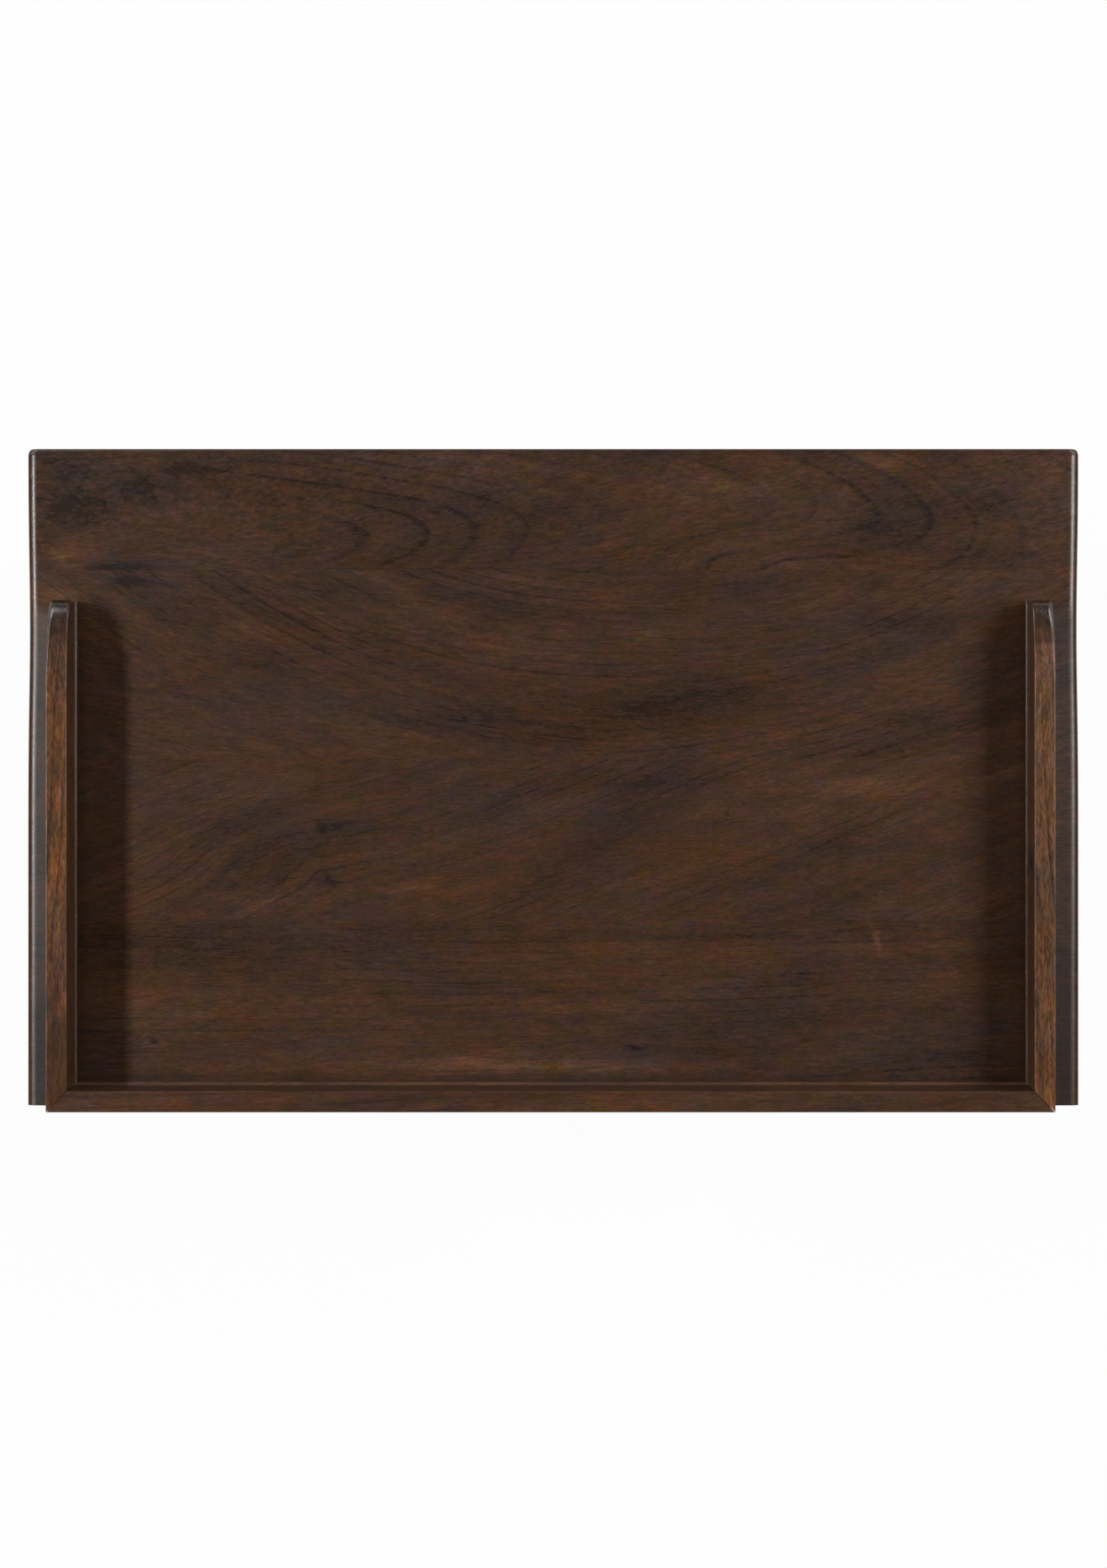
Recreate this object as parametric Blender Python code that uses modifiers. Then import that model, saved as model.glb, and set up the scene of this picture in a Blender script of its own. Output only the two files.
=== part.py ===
"""A nightstand in dark solid wood: a top with a three-sided gallery, over a case of two drawers on legs.

Metres, +Z up. The front faces -Y, +X is to the right of someone facing the front, and the origin is on the
floor under the middle of the top.
"""

import math

import bmesh
import bpy
from mathutils import Matrix, Vector

# Gap left between faces that touch, and how far a cutter runs past the wood that it cuts
FIT = 0.0003
PAST = 0.004

# Top panel
TOP_WIDTH = 0.711
TOP_DEPTH = 0.444
TOP_THICKNESS = 0.022
TOP_HEIGHT = 0.640
TOP_SIDE_ROUND = 0.008
TOP_UNDER_ROUND = 0.004
TOP_FRONT_EASE = 0.0025

# Gallery on the top: three rails let into a shallow trench
GALLERY_HEIGHT = 0.040
GALLERY_THICKNESS = 0.014
GALLERY_SIDE_INSET = 0.020
GALLERY_SETBACK = 0.103
GALLERY_END_HEIGHT = 0.020
GALLERY_SWEEP = 0.055
GALLERY_TRENCH = 0.005
GALLERY_EASE = 0.0015

# How far the top stands out past the legs
SIDE_OVERHANG = 0.020
FRONT_OVERHANG = 0.026
BACK_OVERHANG = 0.006

# Legs, glides and case
LEG = 0.040
LEG_FOOT = 0.024
LEG_EASE = 0.002
TAPER_DROP = 0.015
CASE_BOTTOM = 0.200
GLIDE_RADIUS = 0.010
GLIDE_HEIGHT = 0.005
GLIDE_NAIL_RADIUS = 0.0015
GLIDE_NAIL_LENGTH = 0.014

SIDE_PANEL = 0.018
SIDE_PANEL_INSET = 0.005
SIDE_PANEL_HOUSING = 0.008
BACK_PANEL = 0.006
BACK_PANEL_INSET = 0.006
BACK_PANEL_HOUSING = 0.008

# Frames of rails at three levels
RAIL_HEIGHT = 0.020
BOTTOM_RAIL_HEIGHT = 0.024
FRONT_RAIL_DEPTH = 0.055
BACK_RAIL_DEPTH = 0.045
RAIL_SET_BACK = 0.0015
RAIL_EASE = 0.001
TENON_LENGTH = 0.015
TENON_SHOULDER = 0.005
TONGUE_LENGTH = 0.008
TONGUE_SHOULDER = 0.006

# Drawers and what they run on
DRAWER_GAP = 0.002
DRAWER_FRONT = 0.020
DRAWER_FRONT_EASE = 0.0015
DRAWER_SIDE = 0.012
DRAWER_BACK = 0.012
DRAWER_BOTTOM = 0.006
DRAWER_SIDE_DROP = 0.004
BOTTOM_GROOVE = 0.005
BOTTOM_GROOVE_HEIGHT = 0.010
TAIL_COUNT = 3
TAIL_LENGTH = 0.013
TAIL_WIDTH = 0.018
TAIL_SLOPE = 1 / 7
TAIL_EDGE = 0.016
RUNNER_BEARING = 0.014
GUIDE_CLEARANCE = 0.0008
GUIDE_HEIGHT = 0.020
RUNNER_STOP_DEPTH = 0.010
RUNNER_STOP_HEIGHT = 0.016
PULL_STOP_WIDTH = 0.060
PULL_STOP_DEPTH = 0.012
PULL_STOP_HEIGHT = 0.014

# Knobs, turned and then screwed on from inside the drawer
KNOB_SPACING = 0.300
KNOB_RADIUS = 0.013
KNOB_PROJECTION = 0.023
KNOB_BASE_RADIUS = 0.008
KNOB_BASE_HEIGHT = 0.003
KNOB_NECK_RADIUS = 0.0055
KNOB_CROWN = 0.004
KNOB_BORE_DEPTH = 0.012
KNOB_SCREW_RADIUS = 0.002
KNOB_SCREW_HEAD_RADIUS = 0.0045
KNOB_SCREW_HEAD_HEIGHT = 0.0025
KNOB_SCREW_GRIP = 0.010

# Wood screws with countersunk heads
SCREW_RADIUS = 0.002
SCREW_HEAD_RADIUS = 0.004
SCREW_HEAD_HEIGHT = 0.003
GALLERY_SCREW_GRIP = 0.020
TOP_SCREW_GRIP = 0.014
GALLERY_SCREW_END = 0.060
GALLERY_BACK_SCREWS = 3
TOP_SCREW_SPACING = 0.400

# Facets of round work
TURNING_STEPS = 24
SCREW_STEPS = 12
ARC_STEPS = 5
SWEEP_STEPS = 10
EASE_STEPS = 2

# Edges of the case, worked out from the sizes above
CASE_X = TOP_WIDTH / 2 - SIDE_OVERHANG
OPENING_X = CASE_X - LEG
PANEL_OUT_X = CASE_X - SIDE_PANEL_INSET
PANEL_IN_X = PANEL_OUT_X - SIDE_PANEL
FRONT_Y = -TOP_DEPTH / 2 + FRONT_OVERHANG
BACK_Y = TOP_DEPTH / 2 - BACK_OVERHANG
BACK_PANEL_Y = BACK_Y - BACK_PANEL_INSET - BACK_PANEL
FRONT_RAIL_Y = FRONT_Y + RAIL_SET_BACK
FRONT_RAIL_REAR_Y = FRONT_RAIL_Y + FRONT_RAIL_DEPTH
BACK_RAIL_REAR_Y = BACK_PANEL_Y - FIT
BACK_RAIL_Y = BACK_RAIL_REAR_Y - BACK_RAIL_DEPTH
UNDER_TOP = TOP_HEIGHT - TOP_THICKNESS
CASE_TOP = UNDER_TOP - FIT
LEG_BOTTOM = GLIDE_HEIGHT + FIT

# Underside and upper side of the rails at each level
BOTTOM_LEVEL = (CASE_BOTTOM, CASE_BOTTOM + BOTTOM_RAIL_HEIGHT)
TOP_LEVEL = (CASE_TOP - RAIL_HEIGHT, CASE_TOP)
OPENING_HEIGHT = (TOP_LEVEL[0] - BOTTOM_LEVEL[1] - RAIL_HEIGHT) / 2
MIDDLE_LEVEL = (BOTTOM_LEVEL[1] + OPENING_HEIGHT, BOTTOM_LEVEL[1] + OPENING_HEIGHT + RAIL_HEIGHT)
LEVELS = {"bottom": BOTTOM_LEVEL, "middle": MIDDLE_LEVEL, "top": TOP_LEVEL}
OPENINGS = {
    "lower": (BOTTOM_LEVEL[1], MIDDLE_LEVEL[0]),
    "upper": (MIDDLE_LEVEL[1], TOP_LEVEL[0]),
}

# Edges of a drawer
DRAWER_X = OPENING_X - DRAWER_GAP
DRAWER_IN_X = DRAWER_X - DRAWER_SIDE
DRAWER_Y = FRONT_RAIL_Y
DRAWER_FRONT_REAR_Y = DRAWER_Y + DRAWER_FRONT
DRAWER_REAR_Y = BACK_RAIL_Y - FIT - RUNNER_STOP_DEPTH - FIT
SIDES = {"left": -1, "right": 1}

# Directions that a flat outline is laid in: its own X, its own Y, and the way that it is thick
LAID_FACING_X = Matrix(((0, 0, 1), (1, 0, 0), (0, 1, 0)))
LAID_FACING_FRONT = Matrix(((1, 0, 0), (0, 0, -1), (0, 1, 0)))
LAID_FLAT = Matrix.Identity(3)
TURNED_TO_FRONT = Matrix.Rotation(math.radians(90), 3, "X")


# Scene, materials and objects


def clear_scene():
    for obj in list(bpy.data.objects):
        bpy.data.objects.remove(obj, do_unlink=True)


def new_collection(name):
    made = bpy.data.collections.new(name)
    bpy.context.scene.collection.children.link(made)
    return made


def new_material(name, colour, roughness, metallic=0.0):
    made = bpy.data.materials.new(name)
    made.use_nodes = True
    shader = made.node_tree.nodes["Principled BSDF"]
    shader.inputs["Base Color"].default_value = (*colour, 1.0)
    shader.inputs["Roughness"].default_value = roughness
    shader.inputs["Metallic"].default_value = metallic
    return made


def new_piece(name, mesh, material):
    mesh.materials.append(material)
    piece = bpy.data.objects.new(name, mesh)
    PARTS.objects.link(piece)
    return piece


def new_cutter(mesh):
    cutter = bpy.data.objects.new("cutter", mesh)
    cutter.hide_render = True
    cutter.display_type = "WIRE"
    CUTTERS.objects.link(cutter)
    return cutter


def mesh_of(shape):
    mesh = bpy.data.meshes.new("solid")
    shape.to_mesh(mesh)
    shape.free()
    return mesh


def smooth(mesh):
    mesh.shade_smooth()
    mesh.set_sharp_from_angle(angle=math.radians(35))


def new_carrier(name, place, pieces):
    """An empty at a place, which carries pieces that move together."""
    carrier = bpy.data.objects.new(name, None)
    carrier.location = place
    PARTS.objects.link(carrier)
    bpy.context.view_layer.update()
    for piece in pieces:
        piece.parent = carrier
        piece.matrix_parent_inverse = carrier.matrix_world.inverted()


# Shapes


def box_shape(low, high):
    """A box round the origin, of the size from corner to corner."""
    shape = bmesh.new()
    bmesh.ops.create_cube(shape, size=1.0)
    bmesh.ops.scale(shape, vec=Vector(high) - Vector(low), verts=shape.verts)
    return shape


def ease_edges(shape, width, chosen, steps=EASE_STEPS):
    edges = [edge for edge in shape.edges if chosen(edge)]
    bmesh.ops.bevel(shape, geom=edges, offset=width, segments=steps, profile=0.5, affect="EDGES")


def runs_along(axis):
    """Picks the edges that run along an axis, 0, 1 or 2 for X, Y or Z."""

    def chosen(edge):
        run = (edge.verts[0].co - edge.verts[1].co).normalized()
        return abs(run[axis]) > 0.99

    return chosen


def on_front_face(edge):
    """Picks the edges round the front face of a box that lies round its origin."""
    return all(vert.co.y < 0 for vert in edge.verts)


def board(name, low, high, material, ease=0.0, chosen=None):
    """A rectangular board between two corners, with the chosen edges eased."""
    shape = box_shape(low, high)
    if ease:
        ease_edges(shape, ease, chosen)
    piece = new_piece(name, mesh_of(shape), material)
    piece.location = (Vector(low) + Vector(high)) / 2
    return piece


def box_cutter(low, high):
    cutter = new_cutter(mesh_of(box_shape(low, high)))
    cutter.location = (Vector(low) + Vector(high)) / 2
    return cutter


def plate_mesh(outline, thickness):
    """A flat outline with a thickness, half of it on each side."""
    curve = bpy.data.curves.new("outline", "CURVE")
    curve.dimensions = "2D"
    curve.fill_mode = "BOTH"
    curve.extrude = thickness / 2
    spline = curve.splines.new("POLY")
    spline.points.add(len(outline) - 1)
    for point, (u, v) in zip(spline.points, outline):
        point.co = (u, v, 0.0, 1.0)
    spline.use_cyclic_u = True
    drawn = bpy.data.objects.new("outline", curve)
    CUTTERS.objects.link(drawn)
    graph = bpy.context.evaluated_depsgraph_get()
    mesh = bpy.data.meshes.new_from_object(drawn.evaluated_get(graph))
    bpy.data.objects.remove(drawn, do_unlink=True)
    shape = bmesh.new()
    shape.from_mesh(mesh)
    bmesh.ops.remove_doubles(shape, verts=shape.verts, dist=FIT / 30)
    bmesh.ops.dissolve_limit(shape, angle_limit=math.radians(0.5), verts=shape.verts, edges=shape.edges)
    bmesh.ops.recalc_face_normals(shape, faces=shape.faces)
    shape.to_mesh(mesh)
    shape.free()
    return mesh


def lay(piece, laid, place):
    piece.matrix_world = Matrix.Translation(place) @ laid.to_4x4()
    return piece


def arc(centre, radii, start, end, steps):
    """Points on a stretch of an ellipse, from one angle to another in degrees."""
    points = []
    for step in range(steps + 1):
        angle = math.radians(start + (end - start) * step / steps)
        points.append((centre[0] + radii[0] * math.cos(angle), centre[1] + radii[1] * math.sin(angle)))
    return points


def turn(obj, steps):
    """Turns an object's profile about its own Z axis."""
    screw = obj.modifiers.new("turned", "SCREW")
    screw.axis = "Z"
    screw.steps = steps
    screw.render_steps = steps
    screw.use_merge_vertices = True
    screw.merge_threshold = FIT / 30
    screw.use_smooth_shade = True


def profile_mesh(profile):
    mesh = bpy.data.meshes.new("profile")
    points = [(radius, 0.0, height) for radius, height in profile]
    mesh.from_pydata(points, [(i, i + 1) for i in range(len(points) - 1)], [])
    return mesh


def turned(name, profile, material, laid, place, steps=TURNING_STEPS):
    piece = new_piece(name, profile_mesh(profile), material)
    turn(piece, steps)
    return lay(piece, laid, place)


def turned_cutter(profile, laid, place, steps=SCREW_STEPS):
    cutter = new_cutter(profile_mesh(profile))
    turn(cutter, steps)
    return lay(cutter, laid, place)


# Joints


def combine(piece, other, operation):
    modifier = piece.modifiers.new(operation.lower(), "BOOLEAN")
    modifier.operation = operation
    modifier.object = other


def cut(piece, cutter):
    combine(piece, cutter, "DIFFERENCE")


def grown(low, high, gap=FIT):
    return Vector(low) - Vector((gap,) * 3), Vector(high) + Vector((gap,) * 3)


def tenon(piece, low, high, into):
    """A tenon on one piece, and the mortise that it fits in another."""
    combine(piece, box_cutter(low, high), "UNION")
    cut(into, box_cutter(*grown(low, high)))


# Top and gallery


def make_top_panel(wood):
    """The top, with its two ends rounded over and its other edges eased."""
    half, front = TOP_WIDTH / 2 - FIT, TOP_DEPTH / 2 - FIT
    shape = box_shape((-TOP_WIDTH / 2, -TOP_DEPTH / 2, UNDER_TOP), (TOP_WIDTH / 2, TOP_DEPTH / 2, TOP_HEIGHT))
    widest = max(TOP_SIDE_ROUND, TOP_UNDER_ROUND, TOP_FRONT_EASE)
    weights = shape.edges.layers.float.new("bevel_weight_edge")
    for edge in shape.edges:
        at_end = all(abs(vert.co.x) > half for vert in edge.verts)
        at_front = all(abs(vert.co.y) > front for vert in edge.verts)
        end_round = TOP_SIDE_ROUND if edge.verts[0].co.z > 0 else TOP_UNDER_ROUND
        edge[weights] = (end_round if at_end and not at_front else TOP_FRONT_EASE) / widest
    mesh = mesh_of(shape)
    mesh.shade_smooth()
    panel = new_piece("top_panel", mesh, wood)
    panel.location = (0.0, 0.0, (UNDER_TOP + TOP_HEIGHT) / 2)
    rounding = panel.modifiers.new("rounding", "BEVEL")
    rounding.width = widest
    rounding.segments = ARC_STEPS
    rounding.limit_method = "WEIGHT"
    return panel


def make_gallery(wood, panel):
    """Three rails let into trenches in the top, mitred where they meet at the back."""
    outer, back = TOP_WIDTH / 2 - GALLERY_SIDE_INSET, TOP_DEPTH / 2
    inner, back_inner = outer - GALLERY_THICKNESS, back - GALLERY_THICKNESS
    foot = TOP_HEIGHT - GALLERY_TRENCH
    rails = [make_gallery_back(wood, outer, inner, back, back_inner, foot)]
    trench_top = TOP_HEIGHT + PAST
    back_low = (-outer - FIT, back_inner - FIT, foot - FIT)
    cut(panel, box_cutter(back_low, (outer + FIT, back + PAST, trench_top)))
    for name, side in SIDES.items():
        rails.append(make_gallery_side(f"gallery_{name}", side, wood, outer, back, foot))
        low, high = sorted((side * (inner - FIT), side * (outer + FIT)))
        front = GALLERY_SETBACK - TOP_DEPTH / 2 - FIT
        cut(panel, box_cutter((low, front, foot - FIT), (high, back_inner, trench_top)))
    return rails


def make_gallery_back(wood, outer, inner, back, back_inner, foot):
    mitre = FIT / math.sqrt(2)
    outline = [(mitre - outer, back), (outer - mitre, back)]
    outline += [(inner - mitre, back_inner), (mitre - inner, back_inner)]
    height = GALLERY_HEIGHT + GALLERY_TRENCH
    mesh = plate_mesh(outline, height)
    shape = bmesh.new()
    shape.from_mesh(mesh)
    crest = height / 2 - FIT
    along = runs_along(0)
    ease_edges(shape, GALLERY_EASE, lambda edge: along(edge) and edge.verts[0].co.z > crest)
    shape.to_mesh(mesh)
    shape.free()
    return lay(new_piece("gallery_back", mesh, wood), LAID_FLAT, (0.0, 0.0, foot + height / 2))


def make_gallery_side(name, side, wood, outer, back, foot):
    """A side rail: upright at its front end, then swept up a quarter of an ellipse to its full height."""
    front = GALLERY_SETBACK - TOP_DEPTH / 2
    sweep_centre = (front + GALLERY_SWEEP, TOP_HEIGHT + GALLERY_END_HEIGHT)
    sweep_radii = (GALLERY_SWEEP, GALLERY_HEIGHT - GALLERY_END_HEIGHT)
    outline = [(back, foot), (back, TOP_HEIGHT + GALLERY_HEIGHT)]
    outline += arc(sweep_centre, sweep_radii, 90, 180, SWEEP_STEPS)
    outline.append((front, foot))
    mesh = plate_mesh(outline, GALLERY_THICKNESS)
    shape = bmesh.new()
    shape.from_mesh(mesh)
    face = GALLERY_THICKNESS / 2 - FIT

    def along_crest(edge):
        above = all(vert.co.y > TOP_HEIGHT for vert in edge.verts)
        first, second = (vert.co.z for vert in edge.verts)
        return above and first * second > face * face

    ease_edges(shape, GALLERY_EASE, along_crest)
    shape.to_mesh(mesh)
    shape.free()
    smooth(mesh)
    rail = lay(new_piece(name, mesh, wood), LAID_FACING_X, (side * (outer - GALLERY_THICKNESS / 2), 0.0, 0.0))
    reach = 2 * GALLERY_THICKNESS
    corner = Vector((side * (outer + FIT), back, TOP_HEIGHT))
    wedge = box_cutter((-reach, -reach, -GALLERY_HEIGHT * 2), (reach, reach, GALLERY_HEIGHT * 2))
    turned_corner = Matrix.Rotation(math.radians(45), 4, "Z")
    away = Vector((-side, 1.0, 0.0)).normalized() * reach
    wedge.matrix_world = Matrix.Translation(corner + away) @ turned_corner
    cut(rail, wedge)
    return rail


# Fixings


def wood_screw_profile(length, gap=0.0):
    """A countersunk screw from its tip, at the top, down to its head. A gap makes the hole for it."""
    past = PAST if gap else 0.0
    shank, head = SCREW_RADIUS + gap, SCREW_HEAD_RADIUS + gap
    tip = length + gap
    profile = [(0.0, tip), (shank, tip - SCREW_RADIUS), (shank, SCREW_HEAD_HEIGHT), (head, 0.0)]
    if past:
        profile.append((head, -past))
    return profile + [(0.0, -past)]


def wood_screw(name, place, length, steel, through):
    for piece in through:
        cut(piece, turned_cutter(wood_screw_profile(length, FIT), LAID_FLAT, place))
    turned(name, wood_screw_profile(length), steel, LAID_FLAT, place, SCREW_STEPS)


def make_gallery_screws(steel, panel, rails):
    """Screws up through the top into the rails: some along the back rail and two in each side rail."""
    back_rail, *side_rails = rails
    back = TOP_DEPTH / 2 - GALLERY_THICKNESS / 2
    reach = TOP_WIDTH / 2 - GALLERY_SIDE_INSET - GALLERY_SCREW_END
    side = TOP_WIDTH / 2 - GALLERY_SIDE_INSET - GALLERY_THICKNESS / 2
    front = GALLERY_SETBACK - TOP_DEPTH / 2 + GALLERY_SCREW_END
    places = []
    for step in range(GALLERY_BACK_SCREWS):
        share = 2 * step / (GALLERY_BACK_SCREWS - 1) - 1
        places.append((back_rail, share * reach, back))
    for rail, sign in zip(side_rails, SIDES.values()):
        places.append((rail, sign * side, front))
        places.append((rail, sign * side, TOP_DEPTH / 2 - GALLERY_SCREW_END))
    length = TOP_THICKNESS - GALLERY_TRENCH + GALLERY_SCREW_GRIP
    for number, (rail, x, y) in enumerate(places, start=1):
        wood_screw(f"gallery_screw_{number}", (x, y, UNDER_TOP + FIT), length, steel, (panel, rail))


def make_top_screws(steel, panel, front_rail, back_rail):
    """Screws up through the top front and back rails into the top."""
    length = RAIL_HEIGHT + TOP_SCREW_GRIP
    front, back = FRONT_RAIL_Y + FRONT_RAIL_DEPTH / 2, BACK_RAIL_Y + BACK_RAIL_DEPTH / 2
    number = 0
    for rail, y in ((front_rail, front), (back_rail, back)):
        for sign in SIDES.values():
            number += 1
            place = (sign * TOP_SCREW_SPACING / 2, y, TOP_LEVEL[0] + FIT)
            wood_screw(f"top_screw_{number}", place, length, steel, (rail, panel))


# Legs and case


def make_leg(name, across, along, wood):
    """A square leg with its outer corner at the case's corner, tapered on its two inner faces to the foot."""
    corner_y = FRONT_Y if along < 0 else BACK_Y
    taper_top = CASE_BOTTOM - TAPER_DROP
    low = Vector((0.0, 0.0, taper_top))
    shape = box_shape(low, (LEG, LEG, CASE_TOP))
    underside = min(shape.faces, key=lambda face: face.calc_center_median().z)
    added = bmesh.ops.extrude_face_region(shape, geom=[underside])["geom"]
    bmesh.ops.delete(shape, geom=[underside], context="FACES_ONLY")
    outer = Vector((across * LEG / 2, along * LEG / 2, 0.0))
    for vert in (item for item in added if isinstance(item, bmesh.types.BMVert)):
        vert.co.x = outer.x + (vert.co.x - outer.x) * LEG_FOOT / LEG
        vert.co.y = outer.y + (vert.co.y - outer.y) * LEG_FOOT / LEG
        vert.co.z -= taper_top - LEG_BOTTOM
    ease_edges(shape, LEG_EASE, lambda edge: abs(edge.verts[0].co.z - edge.verts[1].co.z) > LEG / 2)
    leg = new_piece(name, mesh_of(shape), wood)
    leg.location = (across * (CASE_X - LEG / 2), corner_y - along * LEG / 2, (taper_top + CASE_TOP) / 2)
    return leg


def glide_profile():
    """A domed glide under a foot, with a nail that goes up into the leg."""
    nail_top = LEG_BOTTOM + GLIDE_NAIL_LENGTH
    edge, nail = GLIDE_HEIGHT / 4, GLIDE_NAIL_RADIUS
    profile = [(0.0, nail_top), (nail, nail_top - nail), (nail, GLIDE_HEIGHT)]
    profile += [(GLIDE_RADIUS - edge, GLIDE_HEIGHT), (GLIDE_RADIUS, GLIDE_HEIGHT - edge)]
    profile += [(GLIDE_RADIUS, edge), (GLIDE_RADIUS - edge, 0.0), (0.0, 0.0)]
    return profile


def make_legs(wood, nylon):
    legs = {}
    for end, along in (("front", -1), ("back", 1)):
        for name, across in SIDES.items():
            leg = make_leg(f"leg_{end}_{name}", across, along, wood)
            corner_y = FRONT_Y if along < 0 else BACK_Y
            foot = (across * (CASE_X - LEG_FOOT / 2), corner_y - along * LEG_FOOT / 2, 0.0)
            turned(f"glide_{end}_{name}", glide_profile(), nylon, LAID_FLAT, foot, SCREW_STEPS)
            bore, top = GLIDE_NAIL_RADIUS + FIT, LEG_BOTTOM + GLIDE_NAIL_LENGTH + FIT
            cut(leg, turned_cutter([(0.0, top), (bore, top), (bore, 0.0), (0.0, 0.0)], LAID_FLAT, foot))
            legs[end, name] = leg
    return legs


def make_side_panels(wood, legs):
    """Case sides, housed in grooves in the legs."""
    front = FRONT_Y + LEG - SIDE_PANEL_HOUSING
    back = BACK_Y - LEG + SIDE_PANEL_HOUSING
    for name, side in SIDES.items():
        left, right = sorted((side * PANEL_IN_X, side * PANEL_OUT_X))
        low, high = Vector((left, front, CASE_BOTTOM)), Vector((right, back, CASE_TOP))
        board(f"side_panel_{name}", low, high, wood)
        groove_low, groove_high = grown(low, high + Vector((0.0, 0.0, PAST)))
        for end in ("front", "back"):
            cut(legs[end, name], box_cutter(groove_low, groove_high))


def make_back_panel(ply, legs):
    reach = OPENING_X + BACK_PANEL_HOUSING
    low = Vector((-reach, BACK_PANEL_Y, CASE_BOTTOM))
    high = Vector((reach, BACK_PANEL_Y + BACK_PANEL, CASE_TOP))
    board("back_panel", low, high, ply)
    groove_low, groove_high = grown(low, high + Vector((0.0, 0.0, PAST)))
    for name in SIDES:
        cut(legs["back", name], box_cutter(groove_low, groove_high))


def make_rails(wood, legs):
    """A front and a back rail at each level, tenoned into the legs."""
    rails = {}
    reach = OPENING_X - FIT
    for level, (under, over) in LEVELS.items():
        for end, front, rear in (
            ("front", FRONT_RAIL_Y, FRONT_RAIL_REAR_Y),
            ("back", BACK_RAIL_Y, BACK_RAIL_REAR_Y),
        ):
            name = f"{level}_{end}_rail"
            rail = board(name, (-reach, front, under), (reach, rear, over), wood, RAIL_EASE, runs_along(0))
            leg_front, leg_rear = (FRONT_Y, FRONT_Y + LEG) if end == "front" else (BACK_Y - LEG, BACK_Y)
            tenon_front = max(front, leg_front) + TENON_SHOULDER
            tenon_rear = min(rear, leg_rear) - TENON_SHOULDER
            for side, sign in SIDES.items():
                left, right = sorted((sign * (reach - TENON_LENGTH), sign * (reach + TENON_LENGTH)))
                low = (left, tenon_front, under + TENON_SHOULDER)
                high = (right, tenon_rear, over - TENON_SHOULDER)
                tenon(rail, low, high, legs[end, side])
            rails[level, end] = rail
    return rails


# Runners, kickers and stops


def add_tongues(strip, side, level, rails):
    """Tongues on a strip's two ends, let into the front and back rails of its level."""
    under, over = LEVELS[level]
    inner, outer = DRAWER_X - RUNNER_BEARING + TONGUE_SHOULDER, PANEL_IN_X - FIT - TONGUE_SHOULDER
    left, right = sorted((side * inner, side * min(outer, OPENING_X - TONGUE_SHOULDER)))
    for end, face in (("front", FRONT_RAIL_REAR_Y), ("back", BACK_RAIL_Y)):
        low = (left, face - TONGUE_LENGTH, under + TONGUE_SHOULDER)
        high = (right, face + TONGUE_LENGTH, over - TONGUE_SHOULDER)
        tenon(strip, low, high, rails[level, end])


def make_runner(drawer, level, name, side, wood, rails):
    """An L-shaped strip: a drawer's side slides on its foot and along its upright, up to a stop."""
    under, over = LEVELS[level]
    foot_x, guide_x, outer_x = DRAWER_X - RUNNER_BEARING, DRAWER_X + GUIDE_CLEARANCE, PANEL_IN_X - FIT
    front, rear = FRONT_RAIL_REAR_Y + FIT, BACK_RAIL_Y - FIT
    crest = over + GUIDE_HEIGHT
    section = [(foot_x, under), (outer_x, under), (outer_x, crest)]
    section += [(guide_x, crest), (guide_x, over), (foot_x, over)]
    mesh = plate_mesh([(side * x, z) for x, z in section], rear - front)
    runner = new_piece(f"{drawer}_runner_{name}", mesh, wood)
    lay(runner, LAID_FACING_FRONT, (0.0, (front + rear) / 2, 0.0))
    left, right = sorted((side * (DRAWER_IN_X - FIT), side * (guide_x + outer_x) / 2))
    stop_low = (left, rear - RUNNER_STOP_DEPTH, over - RUNNER_STOP_HEIGHT / 2)
    combine(runner, box_cutter(stop_low, (right, rear - FIT, over + RUNNER_STOP_HEIGHT)), "UNION")
    add_tongues(runner, side, level, rails)


def make_kicker(name, side, wood, rails):
    """A strip over the upper drawer's side, which keeps the drawer level as it comes out."""
    under, over = TOP_LEVEL
    left, right = sorted((side * (DRAWER_X - RUNNER_BEARING), side * (PANEL_IN_X - FIT)))
    low = (left, FRONT_RAIL_REAR_Y + FIT, under)
    kicker = board(f"kicker_{name}", low, (right, BACK_RAIL_Y - FIT, over), wood)
    add_tongues(kicker, side, "top", rails)


def make_pull_stop(drawer, wood):
    """A block under the rail over a drawer, which the drawer's back meets when it is pulled right out."""
    rail_under = OPENINGS[drawer][1]
    low = (-PULL_STOP_WIDTH / 2, FRONT_RAIL_REAR_Y - PULL_STOP_DEPTH, rail_under - PULL_STOP_HEIGHT)
    high = (PULL_STOP_WIDTH / 2, FRONT_RAIL_REAR_Y, rail_under - FIT)
    board(f"{drawer}_drawer_stop", low, high, wood)


# Drawers


def tail_heights(low, high):
    step = (high - low) / (TAIL_COUNT - 1)
    return [low + step * number for number in range(TAIL_COUNT)]


def tail_points(base, tip, height, gap=0.0):
    """One dovetail's corners, from its lower root round its tip to its upper root. A gap makes its socket."""
    root = TAIL_WIDTH / 2 + gap
    flare = root + abs(tip - base) * TAIL_SLOPE
    return [(base, height - root), (tip, height - flare), (tip, height + flare), (base, height + root)]


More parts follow.
